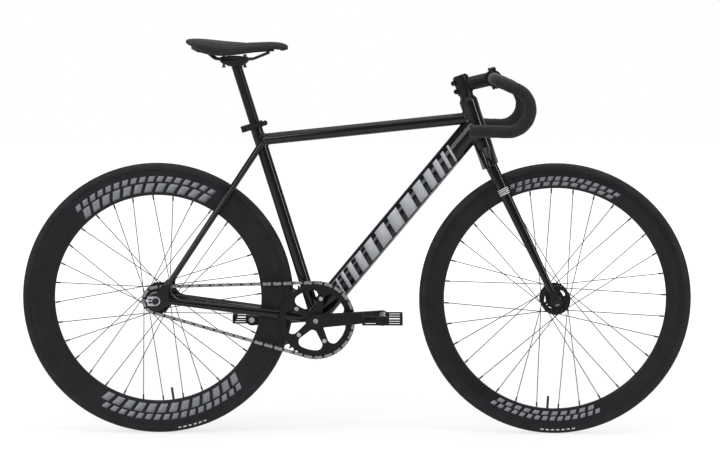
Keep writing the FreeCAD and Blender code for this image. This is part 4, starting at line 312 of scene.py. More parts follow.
# Finishes. Each says its two tones, its roughness from low to high, the size of its mottle and grain in mm,
# how strongly and how deep in mm the grain stands out, and what the shader has all over. The finest grains
# are drawn coarser than the real ones, because those would not show.
finishes = {
    # stoved enamel under lacquer: deep black, a mirror gloss with a slight orange peel
    "glossBlackEnamel": {
        "tones": ("#0b0b0d", "#111114"), "rough": (0.16, 0.22), "mottle": 60.0, "grain": 2.2, "relief": 0.03,
        "depth": 0.02, "shader": {"Specular IOR Level": 0.05, "Coat Weight": 0.6, "Coat Roughness": 0.03}},
    # anodised aluminium, blasted before the dye: an even satin black with a metal's broad highlight
    "satinBlackAnodised": {
        "tones": ("#141416", "#1d1d20"), "rough": (0.30, 0.40), "mottle": 25.0, "grain": 0.5, "relief": 0.12,
        "depth": 0.05, "shader": {"Metallic": 0.35, "Specular IOR Level": 0.3}},
    # bare aluminium, brushed crosswise: pale grey with a fine short grain
    "brushedAluminium": {
        "tones": ("#a9abad", "#d2d3d4"), "rough": (0.24, 0.38), "mottle": 4.0, "grain": 0.35, "relief": 0.2,
        "depth": 0.05, "shader": {"Metallic": 1.0}},
    # zinc-plated steel: bright with a cloudy bloom
    "zincSteel": {
        "tones": ("#9c9da0", "#c9cacc"), "rough": (0.2, 0.34), "mottle": 6.0, "grain": 0.4, "relief": 0.12,
        "depth": 0.04, "shader": {"Metallic": 1.0}},
    # black oxide on drawn steel: dark grey, oily, a little uneven
    "blackOxideSteel": {
        "tones": ("#26272a", "#3c3d41"), "rough": (0.28, 0.42), "mottle": 5.0, "grain": 0.4, "relief": 0.12,
        "depth": 0.04, "shader": {"Metallic": 0.85}},
    # butyl rubber: dull black with a faint bloom of talc
    "butylRubber": {
        "tones": ("#141415", "#1e1e20"), "rough": (0.5, 0.65), "mottle": 12.0, "grain": 0.8, "relief": 0.2,
        "depth": 0.08},
    # foam tape with an embossed skin: soft matte charcoal, no clear highlight
    "embossedFoamTape": {
        "tones": ("#18191b", "#222326"), "rough": (0.6, 0.74), "mottle": 18.0, "grain": 1.1, "relief": 0.45,
        "depth": 0.22, "shader": {"Specular IOR Level": 0.22, "Sheen Weight": 0.12, "Sheen Roughness": 0.5}},
    # glass-filled nylon from a spark-eroded mould: dry black with an even fine stipple
    "mouldedNylon": {
        "tones": ("#121214", "#1b1b1e"), "rough": (0.42, 0.55), "mottle": 15.0, "grain": 0.6, "relief": 0.25,
        "depth": 0.06, "shader": {"Specular IOR Level": 0.3}},
    # bonded polyester thread: slightly paler than the cover, waxy
    "bondedThread": {
        "tones": ("#303035", "#3d3d43"), "rough": (0.45, 0.6), "mottle": 3.0, "grain": 0.3, "relief": 0.3,
        "depth": 0.08},
    # printed vinyl film: flat mid grey with a faint fleck
    "greyVinylFilm": {
        "tones": ("#7f8088", "#8d8e96"), "rough": (0.32, 0.4), "mottle": 9.0, "grain": 0.8, "relief": 0.05,
        "depth": 0.02},
    # silver vinyl film on the tube: paler and satin, with a soft fleck
    "silverVinylFilm": {
        "tones": ("#b0b2b6", "#bcbec2"), "rough": (0.40, 0.46), "mottle": 14.0, "grain": 1.0, "relief": 0.04,
        "depth": 0.02, "shader": {"Specular IOR Level": 0.3}},
    # white vinyl film: clean white, a little greyer where it is rubbed
    "whiteVinylFilm": {
        "tones": ("#e2e2e0", "#f0f0ee"), "rough": (0.3, 0.4), "mottle": 7.0, "grain": 0.6, "relief": 0.05,
        "depth": 0.02},
}
looks = {}
for name, finish in finishes.items():
    looks[name], tree, shader, where = startMaterial(name)
    mottle = addNode(tree, "TexNoise", {"Vector": where, "Scale": 1000 / finish["mottle"], "Detail": 4.0})
    grain = addNode(tree, "TexNoise", {"Vector": where, "Scale": 1000 / finish["grain"], "Detail": 3.0})
    finishMaterial(tree, shader, finish, mottle.outputs["Fac"], grain.outputs["Fac"], grain.outputs["Fac"])

# wheel finishes: a ring and the groove beside it are each as wide as "ring", dust and pores are in mm
wheelFinishes = {
    # anodised rim, turned on a lathe before the dye: satin black with rings round the hub
    "turnedRim": {"tones": ("#0f1012", "#18191c"), "rough": (0.34, 0.46), "ring": 1.6, "depth": 0.02},
    # vulcanised rubber: charcoal, with ribs pressed round the side wall and a dusty bloom
    "ribbedTyreRubber": {"tones": ("#161719", "#222325"), "rough": (0.55, 0.72), "ring": 2.4, "depth": 0.12},
}
wheelShared = {"dust": 30.0, "pores": 0.9, "toneSpan": (0.32, 0.68), "roughSpan": (0.0, 1.0), "relief": 0.25,
               "shader": {"Specular IOR Level": 0.25}}
wavePhase = 20  # the wave node's phase is the radius times its scale times this
for wheel, hub in wheelHubs:
    for kind, own in wheelFinishes.items():
        finish = {**wheelShared, **own}
        name = kind + wheel.capitalize()
        looks[name], tree, shader, where = startMaterial(name)
        centred = addNode(tree, "Mapping", {"Vector": where, "Location": tuple(-hub)})
        rings = addNode(tree, "TexWave", {"Vector": centred.outputs[0], "Distortion": 0.0,
                                          "Scale": 1000 / finish["ring"] / wavePhase * math.pi},
                        wave_type="RINGS", rings_direction="Y")
        dust = addNode(tree, "TexNoise", {"Vector": where, "Scale": 1000 / finish["dust"], "Detail": 5.0})
        pores = addNode(tree, "TexNoise", {"Vector": where, "Scale": 1000 / finish["pores"], "Detail": 2.0})
        height = addNode(tree, "Math", {0: rings.outputs["Fac"], 1: pores.outputs["Fac"]}, operation="ADD")
        finishMaterial(tree, shader, finish, dust.outputs["Fac"], rings.outputs["Fac"], height.outputs[0])

# nickel-plated chain: pale outer plates, with painted shade on the part between them, and oil that darkens
# both in patches of so many mm
chainFinish = {"tones": ("#2c2c2d", "#97989a"), "rough": (0.22, 0.4), "line": -0.043, "inner": 0.0029,
               "outer": 0.0037, "oil": 5.0, "toneSpan": (0.0, 0.55), "relief": 0.1, "depth": 0.05,
               "shader": {"Metallic": 1.0}}
looks["nickelChainSteel"], tree, shader, where = startMaterial("nickelChainSteel")
axes = addNode(tree, "SeparateXYZ", {0: where})
off = addNode(tree, "Math", {0: axes.outputs["Y"], 1: chainFinish["line"]}, operation="SUBTRACT")
off = addNode(tree, "Math", {0: off.outputs[0]}, operation="ABSOLUTE")
# painted shade: the part between the outer plates takes the dark tone by its place alone
plate = addNode(tree, "MapRange", {"Value": off.outputs[0], "From Min": chainFinish["inner"],
                                   "From Max": chainFinish["outer"]})
oil = addNode(tree, "TexNoise", {"Vector": where, "Scale": 1000 / chainFinish["oil"], "Detail": 4.0})
plateShadeAndOil = addNode(tree, "Math", {0: plate.outputs[0], 1: oil.outputs["Fac"]}, operation="MULTIPLY")
finishMaterial(tree, shader, chainFinish, plateShadeAndOil.outputs[0], oil.outputs["Fac"], oil.outputs["Fac"])

# coated leathercloth: matte black with a fine pebble grain in mm, smoother on the pebbles than in the
# creases, and greyer in worn patches
hideFinish = {"tones": ("#161618", "#222225"), "rough": (0.62, 0.5), "pebble": 1.6, "crease": 0.25,
              "worn": 45.0, "toneSpan": (0.35, 0.65), "roughSpan": (0.0, 1.0), "relief": 0.3, "depth": 0.12,
              "shader": {"Specular IOR Level": 0.3}}
looks["pebbledLeathercloth"], tree, shader, where = startMaterial("pebbledLeathercloth")
pebble = addNode(tree, "TexVoronoi", {"Vector": where, "Scale": 1000 / hideFinish["pebble"]},
                 feature="DISTANCE_TO_EDGE")
crease = addNode(tree, "MapRange", {"Value": pebble.outputs["Distance"], "From Max": hideFinish["crease"]})
worn = addNode(tree, "TexNoise", {"Vector": where, "Scale": 1000 / hideFinish["worn"], "Detail": 4.0})
finishMaterial(tree, shader, hideFinish, worn.outputs["Fac"], crease.outputs[0], crease.outputs[0])

finishOfSlot = {
    "frame_paint": "glossBlackEnamel", "black_alloy": "satinBlackAnodised", "steel": "zincSteel",
    "bright_alloy": "brushedAluminium", "dark_steel": "blackOxideSteel", "chain_steel": "nickelChainSteel",
    "tube_rubber": "butylRubber", "bar_tape": "embossedFoamTape", "saddle_skin": "pebbledLeathercloth",
    "black_plastic": "mouldedNylon", "black_rim": "turnedRim", "tyre_rubber": "ribbedTyreRubber"}
blackBolts = ("stem_bolts", "seatpost_bolts")  # unlike the other bolts of their slot
for name, node in frame["nodes"].items():
    finishName = "blackOxideSteel" if name in blackBolts else finishOfSlot[slotOf[name]]
    if finishName in wheelFinishes:
        finishName += name.split("_")[0].capitalize()
    node.data.materials.clear()
    node.data.materials.append(looks[finishName])
print("finishes made:", len(looks))

# edges broken by hand after machining: name, radius in mm
softEdges = {
    "crank_right": 1.6, "crank_left": 1.6, "stem": 1.2, "stem_faceplate": 1.2, "dropout_right": 1.0,
    "dropout_left": 1.0, "chain_tensioners": 0.6, "pedal_right": 0.5, "pedal_left": 0.5,
    "seat_clamp_collar": 0.8, "seat_clamp_lever": 1.2, "bar_end_plugs": 1.0, "crankset_bolts": 0.5,
    "front_axle": 0.5, "rear_axle": 0.5}
# triangles are joined, those within the first angle become flat faces, and edges over the second are rounded
softening = {"join": 0.00001, "flatAngle": 0.5, "edgeAngle": 40.0, "segments": 2, "shade": 80}
for name, radius in softEdges.items():
    modifiers = frame["nodes"][name].modifiers
    joined = modifiers.new("joinedFaces", "WELD")
    joined.merge_threshold = softening["join"]
    flats = modifiers.new("flatFaces", "DECIMATE")
    flats.decimate_type, flats.angle_limit = "DISSOLVE", math.radians(softening["flatAngle"])
    edges = modifiers.new("softEdges", "BEVEL")
    edges.width, edges.segments = radius / 1000, softening["segments"]
    edges.limit_method, edges.angle_limit = "ANGLE", math.radians(softening["edgeAngle"])
    edges.use_clamp_overlap = True
    shade = modifiers.new("evenShade", "WEIGHTED_NORMAL")
    shade.weight, shade.keep_sharp = softening["shade"], True
print("edges softened")

# Printed films. Each mark is a patch of the surface under it, lifted by a hair and closed to a thin shell.
film = {"lift": 0.00006, "thickness": 0.00012}
barSteps = np.linspace(-0.5, 0.5, 3)  # from one edge of a bar to the other, as shares of its width


def makeFilm(name, body, slot, look, points, out):
    # the patches rise along their outward directions, and the shell's thickness lies outside them
    out = unit(out)
    patch = makePiece(name, points + film["lift"] * out, body, slot, look, out=out)
    shell = patch.modifiers.new("filmThickness", "SOLIDIFY")
    shell.thickness, shell.offset = film["thickness"], 1.0


def centredRow(count):
    # whole steps to both sides of nought
    return np.arange(count) - (count - 1) / 2


def spokeWays(angle):
    # directions out from the hub
    return np.stack([np.cos(angle), 0 * angle, np.sin(angle)], -1)


# oval down tube: bars that swell to the middle, and one fine line under them; a bar's height gives the angle
# round the tube, and its slant moves it along with that height
downMarks = {
    "bars": (0.006, 0.010, 0.016, 0.022, 0.028, 0.034, 0.034, 0.034, 0.028, 0.022, 0.016, 0.010, 0.006),
    "gap": 0.014, "tall": 0.042, "slant": 0.36, "line": (0.024, 0.0262), "barRows": 15, "lineSteps": 40}
downStart = bracket + tubes["downFootUp"] * skyWay
downEnd = steerFoot + tubes["downOnHead"] * steerWay
downWay = unit(downEnd - downStart)
downLift = np.cross(downWay, acrossWay)
downLength = np.linalg.norm(downEnd - downStart)
widths, gap = np.array(downMarks["bars"]), downMarks["gap"]
run = widths.sum() + gap * (len(widths) - 1)
middles = (downLength - run) / 2 + np.cumsum(widths + gap) - gap - widths / 2
barUp = np.linspace(-1, 1, downMarks["barRows"])[None, :, None] * downMarks["tall"] / 2
barAlong = middles[:, None, None] + widths[:, None, None] * barSteps + downMarks["slant"] * barUp
lineUp = -np.linspace(*downMarks["line"], len(barSteps))[None, :, None]
lineSteps = np.linspace(-0.5, 0.5, downMarks["lineSteps"])
lineAlong = downLength / 2 + run * lineSteps + downMarks["slant"] * lineUp
halfTall, halfWide = tubes["downHalfTall"], tubes["downHalfWide"]
for side, sideName in sides:
    for name, up, reach in (("downTubeBars.", barUp, barAlong), ("downTubeLine.", lineUp, lineAlong)):
        up, reach = np.broadcast_arrays(up[..., None], reach[..., None])
        aside = side * np.sqrt(1 - (up / halfTall) ** 2)
        points = downStart + reach * downWay + up * downLift + halfWide * aside * acrossWay
        out = up / halfTall ** 2 * downLift + aside / halfWide * acrossWay
        makeFilm(name + sideName, "frame", "bright_alloy", looks["silverVinylFilm"], points, out)

# rims: first and last angle of each arc of bars, then rows from and to a radius with a bar's width and gap
rimMarks = {
    "rearArcs": ((60.0, 134.0), (240.0, 316.0)), "frontArcs": ((58.0, 113.0), (238.0, 293.0)),
    "rearRows": ((0.264, 0.286, 0.019, 0.009), (0.290, 0.3035, 0.014, 0.008)),
    "frontRows": ((0.281, 0.2905, 0.015, 0.008), (0.2935, 0.3035, 0.012, 0.007)), "slant": 0.45, "steps": 4}
# tyres: first and last angle of the dashes, a dash and its gap at a radius, and how far they lean round
tyreMarks = {"rear": (-82.0, -68.0), "front": (-97.0, -80.0), "dash": 0.008, "gap": 0.005, "radius": 0.326,
             "lean": (5.0, 19.0), "steps": 4}
for wheel, hub in wheelHubs:
    # bars on the rim's flank, which leans by the difference of its half widths over its height
    flank = tubes["rimOuter"] - tubes[wheel + "RimInner"] - tubes["rimNose"]
    slope = (tubes["rimOuterHalf"] - tubes["rimInnerHalf"]) / flank
    for row, (low, high, wide, gap) in enumerate(rimMarks[wheel + "Rows"]):
        middle = (low + high) / 2
        pitch = (wide + gap) / middle
        starts = []
        for first, last in np.radians(rimMarks[wheel + "Arcs"]):
            starts.append((first + last) / 2 + centredRow(int((last - first) / pitch)) * pitch)
        starts = np.concatenate(starts)[:, None, None]
        radius = np.linspace(low, high, rimMarks["steps"])[None, :, None] + 0 * starts
        spoke = spokeWays(starts + (wide * barSteps - rimMarks["slant"] * (radius - middle)) / middle)
        half = tubes["rimOuterHalf"] - slope * (tubes["rimOuter"] - radius)[..., None]
        for side, sideName in sides:
            points = hub + radius[..., None] * spoke + side * half * acrossWay
            makeFilm("%sRimBars.%d.%s" % (wheel, row, sideName), wheel + "_wheel", "bright_alloy",
                     looks["greyVinylFilm"], points, side * acrossWay - slope * spoke)
    # dashes on the tyre's round wall
    first, last = np.radians(tyreMarks[wheel])
    pitch = (tyreMarks["dash"] + tyreMarks["gap"]) / tyreMarks["radius"]
    starts = (first + last) / 2 + centredRow(int((last - first) / pitch))[:, None, None] * pitch
    lean = np.radians(np.linspace(*tyreMarks["lean"], tyreMarks["steps"]))[:, None]
    spoke = spokeWays(starts + tyreMarks["dash"] * barSteps / tyreMarks["radius"] + 0 * lean)
    for side, sideName in sides:
        out = np.sin(lean)[..., None] * spoke + side * np.cos(lean)[..., None] * acrossWay
        makeFilm(wheel + "TyreDashes." + sideName, wheel + "_wheel", "bright_alloy", looks["whiteVinylFilm"],
                 hub + tubes["tyreMiddle"] * spoke + tubes["tyreRadius"] * out, out)

# bands round the outside of the fork blades, whose oval section tapers to the tip: the first one's place as a
# share of the blade, their number, a band and its gap, and half its turn round the blade
bandMarks = {"start": 0.2, "count": 4, "band": 0.0021, "gap": 0.0023, "turn": 75.0, "steps": 17}
bandAngles = np.radians(np.linspace(-bandMarks["turn"], bandMarks["turn"], bandMarks["steps"]))[:, None]
bandEdges = bandMarks["band"] * np.array([-0.5, 0.5])[:, None, None]
forwardWay = np.cross(acrossWay, steerWay)
for side, sideName in sides:
    steerAxes = np.stack([forwardWay, side * acrossWay, steerWay])
    bladeTop, bladeTip = steerFoot + np.array([tubes["bladeTop"], tubes["bladeTip"]]) @ steerAxes
    bladeWay = unit(bladeTip - bladeTop)
    bladeFront = unit(forwardWay - (forwardWay @ bladeWay) * bladeWay)
    bladeSide = unit(side * acrossWay - (side * acrossWay @ bladeWay) * bladeWay)
    length = np.linalg.norm(bladeTip - bladeTop)
    starts = np.arange(bandMarks["count"]) * (bandMarks["band"] + bandMarks["gap"])
    reach = bandMarks["start"] * length + starts[:, None, None, None] + bandEdges
    deep, wide = (np.interp(reach / length, (0, 1), tubes[size]) for size in ("bladeDeep", "bladeWide"))
    ahead, aside = np.sin(bandAngles), np.cos(bandAngles)
    points = bladeTop + reach * bladeWay + deep * ahead * bladeFront + wide * aside * bladeSide
    out = ahead / deep * bladeFront + aside / wide * bladeSide
    makeFilm("forkBands." + sideName, "steering", "bright_alloy", looks["whiteVinylFilm"], points, out)
print("marks laid")

# Weld fillets. Each line along tube A meets round tube B; from a point back along A the fillet sinks in a
# quadratic curve towards that corner and runs out on B, and a line sunk below the corner closes it. Where
# the tubes graze, it narrows to its least share of the width. A way past "steep" takes its side from across.
welds = {"width": 0.006, "leastShare": 0.15, "fullOpening": 0.6, "sink": 0.0012, "lift": 0.00004, "steps": 9,
         "around": 72, "steep": 0.95, "seatFrom": 0.3, "stayFrom": 0.1}


def weldFillet(name, start, way, halfUp, halfSide, axisPoint, axisWay, axisRadius):
    way, axisWay = unit(way), unit(axisWay)

    def offAxis(points):
        # from the nearest place on B's axis out to each point
        away = points - axisPoint
        return away - (away @ axisWay)[:, None] * axisWay

    sideWay = unit(np.cross(way, skyWay) if abs(way[2]) < welds["steep"] else acrossWay)
    upWay = np.cross(sideWay, way)
    around = wholeTurn(welds["around"])[:, None]
    ring = start + halfUp * np.cos(around) * upWay + halfSide * np.sin(around) * sideWay
    outA = unit(np.cos(around) / halfUp * upWay + np.sin(around) / halfSide * sideWay)
    # the squared distance from B's axis is a quadratic in the line's length: its first root is the meeting
    ringOff, step = offAxis(ring), way - (way @ axisWay) * axisWay
    squared, single = step @ step, ringOff @ step
    fixed = (ringOff * ringOff).sum(1) - axisRadius ** 2
    length = (-single - np.sqrt(np.maximum(single * single - squared * fixed, 0))) / squared
    meet = ring + length[:, None] * way
    outB = unit(offAxis(meet))
    tangent = outA - (outA * outB).sum(1)[:, None] * outB
    opening = np.linalg.norm(tangent, axis=1)[:, None]  # nought where the tubes only graze
    width = welds["width"] * np.clip(opening / welds["fullOpening"], welds["leastShare"], 1)
    onA = meet - width * way + welds["lift"] * outA
    onB = meet + width * tangent / np.maximum(opening, 1e-6)
    onB = onB - offAxis(onB) + (axisRadius + welds["lift"]) * unit(offAxis(onB))
    done = np.linspace(0, 1, welds["steps"])[None, :, None]
    ahead = 1 - done
    curve = ahead ** 2 * onA[:, None] + 2 * done * ahead * meet[:, None] + done ** 2 * onB[:, None]
    sunk = meet - welds["sink"] * unit(outA + outB)
    makePiece(name, np.concatenate([curve, sunk[:, None]], 1), "frame", "frame_paint", wrap=(True, True))


topStart = bracket + tubes["topOnSeat"] * seatWay
topEnd = steerFoot + tubes["topOnHead"] * steerWay
topWay, topMiddle = unit(topEnd - topStart), (topStart + topEnd) / 2
seatStart = bracket + welds["seatFrom"] * seatWay
topHalf, seatHalf = [tubes["topRadius"]] * 2, [tubes["seatRadius"]] * 2
weldFillet("weldTopHead", topMiddle, topWay, *topHalf, steerFoot, steerWay, tubes["headRadius"])
weldFillet("weldTopSeat", topMiddle, -topWay, *topHalf, bracket, seatWay, tubes["seatRadius"])
weldFillet("weldDownHead", downStart, downWay, halfTall, halfWide, steerFoot, steerWay, tubes["headRadius"])
weldFillet("weldSeatShell", seatStart, -seatWay, *seatHalf, bracket, acrossWay, tubes["shellRadius"])

# seat stay's domed top beside the seat tube: part of a ball on the stay's end, from below its edge up
dome = {"rise": (-0.35, math.pi / 2 - 0.06), "rings": 12, "around": 36}
for side, sideName in sides:
    stayForward, stayAside = tubes["chainStayEnd"]
    stayRoot = bracket + side * tubes["chainStayRoot"] * acrossWay
    stayWay = unit(stayRoot - rearHub - np.array([stayForward, side * stayAside, 0.0]))
    weldFillet("weldChainStay." + sideName, stayRoot - welds["stayFrom"] * stayWay, stayWay,
               *tubes["chainStayHalf"], bracket, acrossWay, tubes["shellRadius"])
    topAlong, topAside = tubes["seatStayTop"]
    stayTop = bracket + topAlong * seatWay + side * topAside * acrossWay
    domeWay = unit(stayTop - rearHub - np.array(tubes["seatStayFoot"]) * [1, side, 1])
    domeSide = unit(np.cross(domeWay, acrossWay))
    domeUp = np.cross(domeSide, domeWay)
    rise = np.linspace(*dome["rise"], dome["rings"])[:, None, None]
    turn = wholeTurn(dome["around"])[:, None]
    level = np.cos(turn) * domeSide + np.sin(turn) * domeUp
    ball = stayTop + tubes["seatStayRadius"] * (np.cos(rise) * level + np.sin(rise) * domeWay)
    makeClosed("seatStayDome." + sideName, ball, "frame", "frame_paint")

# Filled corners. From an anchor in the metal a plate reaches out to a hollow arc, given by its middle, radius
# and first and last angle; its section goes out on one face, round the edge and back on the other.
cornerShares = np.array([0.0, 0.4, 0.8, 0.93, 0.985, 1.0, 0.985, 0.93, 0.8, 0.4, 0.0])
cornerThick = np.array([1.0, 1.0, 1.0, 0.88, 0.5, 0.0, -0.5, -0.88, -1.0, -1.0, -1.0])
cornerSteps = 25


def cornerPlate(anchor, middle, radius, first, last):
    sweep = np.linspace(first, last, cornerSteps)
    arc = middle + radius * np.stack([np.cos(sweep), np.sin(sweep)], -1)
    return anchor + cornerShares[None, :, None] * (arc[:, None] - anchor)


# webs between the stays at the dropouts: the arc is tangent to both stays, and the plate leans in with them
web = {"corner": (0.0171, 0.0081), "round": 0.028, "seatAngle": 56.5, "chainAngle": -7.1, "halfThick": 0.0042,
       "out": 0.0603, "lean": 0.105, "leanFrom": 0.022}
corner = np.array(web["corner"])
bisector = math.radians((web["seatAngle"] + web["chainAngle"]) / 2)
halfAngle = math.radians((web["seatAngle"] - web["chainAngle"]) / 2)
middle = corner + web["round"] / math.sin(halfAngle) * np.array([math.cos(bisector), math.sin(bisector)])
flat = cornerPlate(corner, middle, web["round"], bisector + math.pi / 2 + halfAngle,
                   bisector + 3 * math.pi / 2 - halfAngle)
inward = web["lean"] * (np.linalg.norm(flat, axis=-1) - web["leanFrom"])
for side, sideName in sides:
    aside = side * (web["out"] - inward + web["halfThick"] * cornerThick)
    makeClosed("dropoutWeb." + sideName, rearHub + np.stack([flat[..., 0], aside, flat[..., 1]], -1), "frame",
               "frame_paint")

# rounded windows of the chainring: at the ring the arc is tangent to a tab's edge and to the ring's inner
# circle, and at the boss to the edges of two neighbouring arms; lengths are from the crank's axis
ringCorner = {"window": 0.075, "tabHalf": 0.008, "round": 0.014, "anchor": (0.0775, 0.0075), "line": -0.043,
              "halfThick": 0.00147, "firstArm": 4.8, "arms": 5}
bossCorner = {"edgeOff": 0.01152, "edgeTurn": 3.69, "round": 0.012, "sunk": 0.002, "line": -0.04768,
              "halfThick": 0.0031}
high = ringCorner["tabHalf"] + ringCorner["round"]
middle = np.array([math.sqrt((ringCorner["window"] - ringCorner["round"]) ** 2 - high ** 2), high])
onTab = cornerPlate(np.array(ringCorner["anchor"]), middle, ringCorner["round"], -math.pi / 2,
                    math.atan2(middle[1], middle[0]))
bisector = math.pi / ringCorner["arms"]
halfAngle = bisector + math.radians(bossCorner["edgeTurn"])
alongBisector = np.array([math.cos(bisector), math.sin(bisector)])
tip = bossCorner["edgeOff"] / math.sin(halfAngle)
onBoss = cornerPlate((tip - bossCorner["sunk"]) * alongBisector,
                     (tip + bossCorner["round"] / math.sin(halfAngle)) * alongBisector, bossCorner["round"],
                     bisector + math.pi / 2 + halfAngle, bisector + 3 * math.pi / 2 - halfAngle)
armTurn = math.radians(ringCorner["firstArm"]) + wholeTurn(ringCorner["arms"])[:, None, None]
mirrored = onTab[::-1] * [1, -1]
for name, shapes, spec in (("ringCorners", (onTab, mirrored), ringCorner),
                           ("spiderCorners", (onBoss,), bossCorner)):
    patches = []
    for shape in shapes:
        out, aside = shape[..., 0], shape[..., 1]
        forward = out * np.cos(armTurn) - aside * np.sin(armTurn)
        up = out * np.sin(armTurn) + aside * np.cos(armTurn)
        across = spec["line"] + spec["halfThick"] * cornerThick + 0 * forward
        patches.append(np.stack([forward, across, up], -1))
    makeClosed(name, bracket + np.concatenate(patches), "crankset", "black_alloy")

# flattened ball on the end of the seat clamp's lever; a fan closes it at each pole
knob = {"place": (-0.2237, -0.0231, 0.7711), "round": 0.0066, "halfThick": 0.0038, "pole": 0.08, "rings": 17,
        "around": 36}
poleAngle = math.pi / 2 - knob["pole"]
rise = np.linspace(-poleAngle, poleAngle, knob["rings"])[:, None]
turn = wholeTurn(knob["around"])
level = knob["round"] * np.cos(rise)
ball = np.stack([level * np.cos(turn), knob["halfThick"] * np.sin(rise) + 0 * turn, level * np.sin(turn)], -1)
makeClosed("leverKnob", np.array(knob["place"]) + ball, "seat_clamp_lever", "black_alloy")
print("welds and webs laid")

# Wrapped bar tape. The bar's centre line is a flat, a quarter turn, a ramp, a hook and a drop; round it the
# tape's radius climbs over each lap and steps down at the lap's edge, which winds along the bar as a helix.
tape = {"start": 0.029, "halfWidth": 0.2, "corner": 0.046, "ramp": 0.053, "rampAngle": 23.5, "hook": 0.053,
        "dropAngle": 1.7, "drop": 0.085, "radius": 0.0151, "inner": 0.0121, "lap": 0.024, "step": 0.0005,
        "edge": 0.1, "rings": 460, "around": 40}


def barLine(side):
    # equal steps of length along the five runs: place and direction at each
    slope = math.radians(tape["rampAngle"])
    last = math.pi + math.radians(tape["dropAngle"])
    out = side * acrossWay
    ramp = np.array([math.cos(slope), 0.0, -math.sin(slope)])
    runs = np.cumsum([0.0, tape["halfWidth"] - tape["corner"] - tape["start"], tape["corner"] * math.pi / 2,
                      tape["ramp"] - tape["corner"], tape["hook"] * (last - slope), tape["drop"]])
    reach = np.linspace(0, runs[-1], tape["rings"])[:, None]
    onFlat, onCorner, onRamp, onHook, onDrop = np.clip(reach - runs[:-1], 0, np.diff(runs)).T[..., None]
    bend, head = onCorner / tape["corner"], slope + onHook / tape["hook"]
    cornerWay = np.cos(bend) * out + np.sin(bend) * ramp
    cornerMove = tape["corner"] * (np.sin(bend) * out + (1 - np.cos(bend)) * ramp)
    hookWay = np.concatenate([np.cos(head), 0 * head, -np.sin(head)], 1)
    hookMove = np.concatenate([np.sin(head) - math.sin(slope), 0 * head, np.cos(head) - math.cos(slope)], 1)
    dropWay = np.array([math.cos(last), 0.0, -math.sin(last)])
    place = (barPoint + out * (tape["start"] + onFlat) + cornerMove + ramp * onRamp + tape["hook"] * hookMove
             + dropWay * onDrop)
    way = dropWay
    for end, runWay in zip(runs[4:0:-1], (hookWay, ramp, cornerWay, out)):
        way = np.where(reach < end, runWay, way)
    return reach, place, unit(way)


for side, sideName in sides:
    reach, place, way = barLine(side)
    aside = unit(np.cross(way, np.array([0.0, side, 1.0])))
    up = np.cross(way, aside)
    around = wholeTurn(tape["around"])
    phase = (reach / tape["lap"] + side * around / (2 * math.pi)) % 1.0
    climb = np.minimum(phase / (1 - tape["edge"]), (1 - phase) / tape["edge"])
    radius = tape["radius"] - tape["step"] * (1 - climb)
    outline = np.cos(around)[:, None] * aside[:, None] + np.sin(around)[:, None] * up[:, None]
    wound = place[:, None] + radius[..., None] * outline
    hems = place[[0, -1], None] + tape["inner"] * outline[[0, -1]]  # the ends fold in to the bar
    wound = np.concatenate([hems[:1], wound, hems[1:]])
    wrapped = makeClosed("wrappedTape." + sideName, wound, "steering", "bar_tape")
    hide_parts("bar_tape_" + sideName)
print("bar tape wound")

# Padded saddle. Stations from tail to nose give half the width and the heights of crown and skirt over the
# rails; each section is a closed line through a few points, and both directions run as smooth curves.
saddle = {
    "back": 0.118, "length": 0.25, "width": 0.14, "top": 0.047,
    # share of the length, of half the width, and of the height for the crown and the skirt
    "stations": ((0.0, 0.40, 0.99, 0.80), (0.012, 0.62, 1.03, 0.78), (0.035, 0.81, 1.05, 0.73),
                 (0.08, 0.94, 1.04, 0.62), (0.143, 1.0, 1.03, 0.46), (0.27, 0.94, 0.95, 0.20),
                 (0.41, 0.71, 0.86, 0.16), (0.57, 0.47, 0.83, 0.28), (0.73, 0.345, 0.86, 0.40),
                 (0.86, 0.30, 0.89, 0.45), (0.94, 0.27, 0.84, 0.42), (0.985, 0.23, 0.76, 0.40),
                 (1.0, 0.18, 0.70, 0.41)),
    # a section's points: across as a share of the half width, up as a share from skirt to crown
    "section": ((0.0, 1.0), (0.42, 0.97), (0.74, 0.87), (0.96, 0.62), (0.98, 0.30), (0.86, 0.0), (0.74, 0.10),
                (0.45, 0.36), (0.0, 0.48)),
    # rows of the grid: first share, last share and count, closer together at tail and nose
    "rows": ((0.0, 0.06, 10), (0.08, 0.92, 60), (0.94, 1.0, 10)), "around": 64,
    # cloth: cell, pressure, the cap on its swelling, frames, how far down a face must look to be held
    "voxel": 0.004, "pressure": 4.0, "swell": 0.003, "frames": 20, "heldBelow": -0.1, "smoothing": 2,
    # seam: share of the half width, and its groove
    "seam": 0.84, "grooveDeep": 0.0009, "grooveWide": 0.0016,
    # stitches: pitch, place outside the seam, first and last share of the length, half length as a share of
    # the pitch, thread's radius, how far up a face must look to carry them, neighbours that share a height
    "stitch": 0.0042, "stitchOff": 0.0026, "stitched": (0.07, 0.93), "stitchHalf": 0.36, "thread": 0.00045,
    "upperAbove": 0.15, "evened": 5, "pole": 0.2, "stitchRings": 6, "stitchAround": 8,
}


def bakeModifiers(piece):
    # the mesh as its modifiers leave it
    depsgraph = bpy.context.evaluated_depsgraph_get()
    baked = bpy.data.meshes.new_from_object(piece.evaluated_get(depsgraph))
    piece.modifiers.clear()
    piece.data = baked


def meshPoints(mesh, name="co"):
    # each vertex's place, or its normal
    values = np.empty(len(mesh.vertices) * 3, np.float32)
    mesh.vertices.foreach_get(name, values)
    return values.reshape(-1, 3).astype(float)


def movePoints(mesh, places):
    mesh.vertices.foreach_set("co", places.astype(np.float32).ravel())


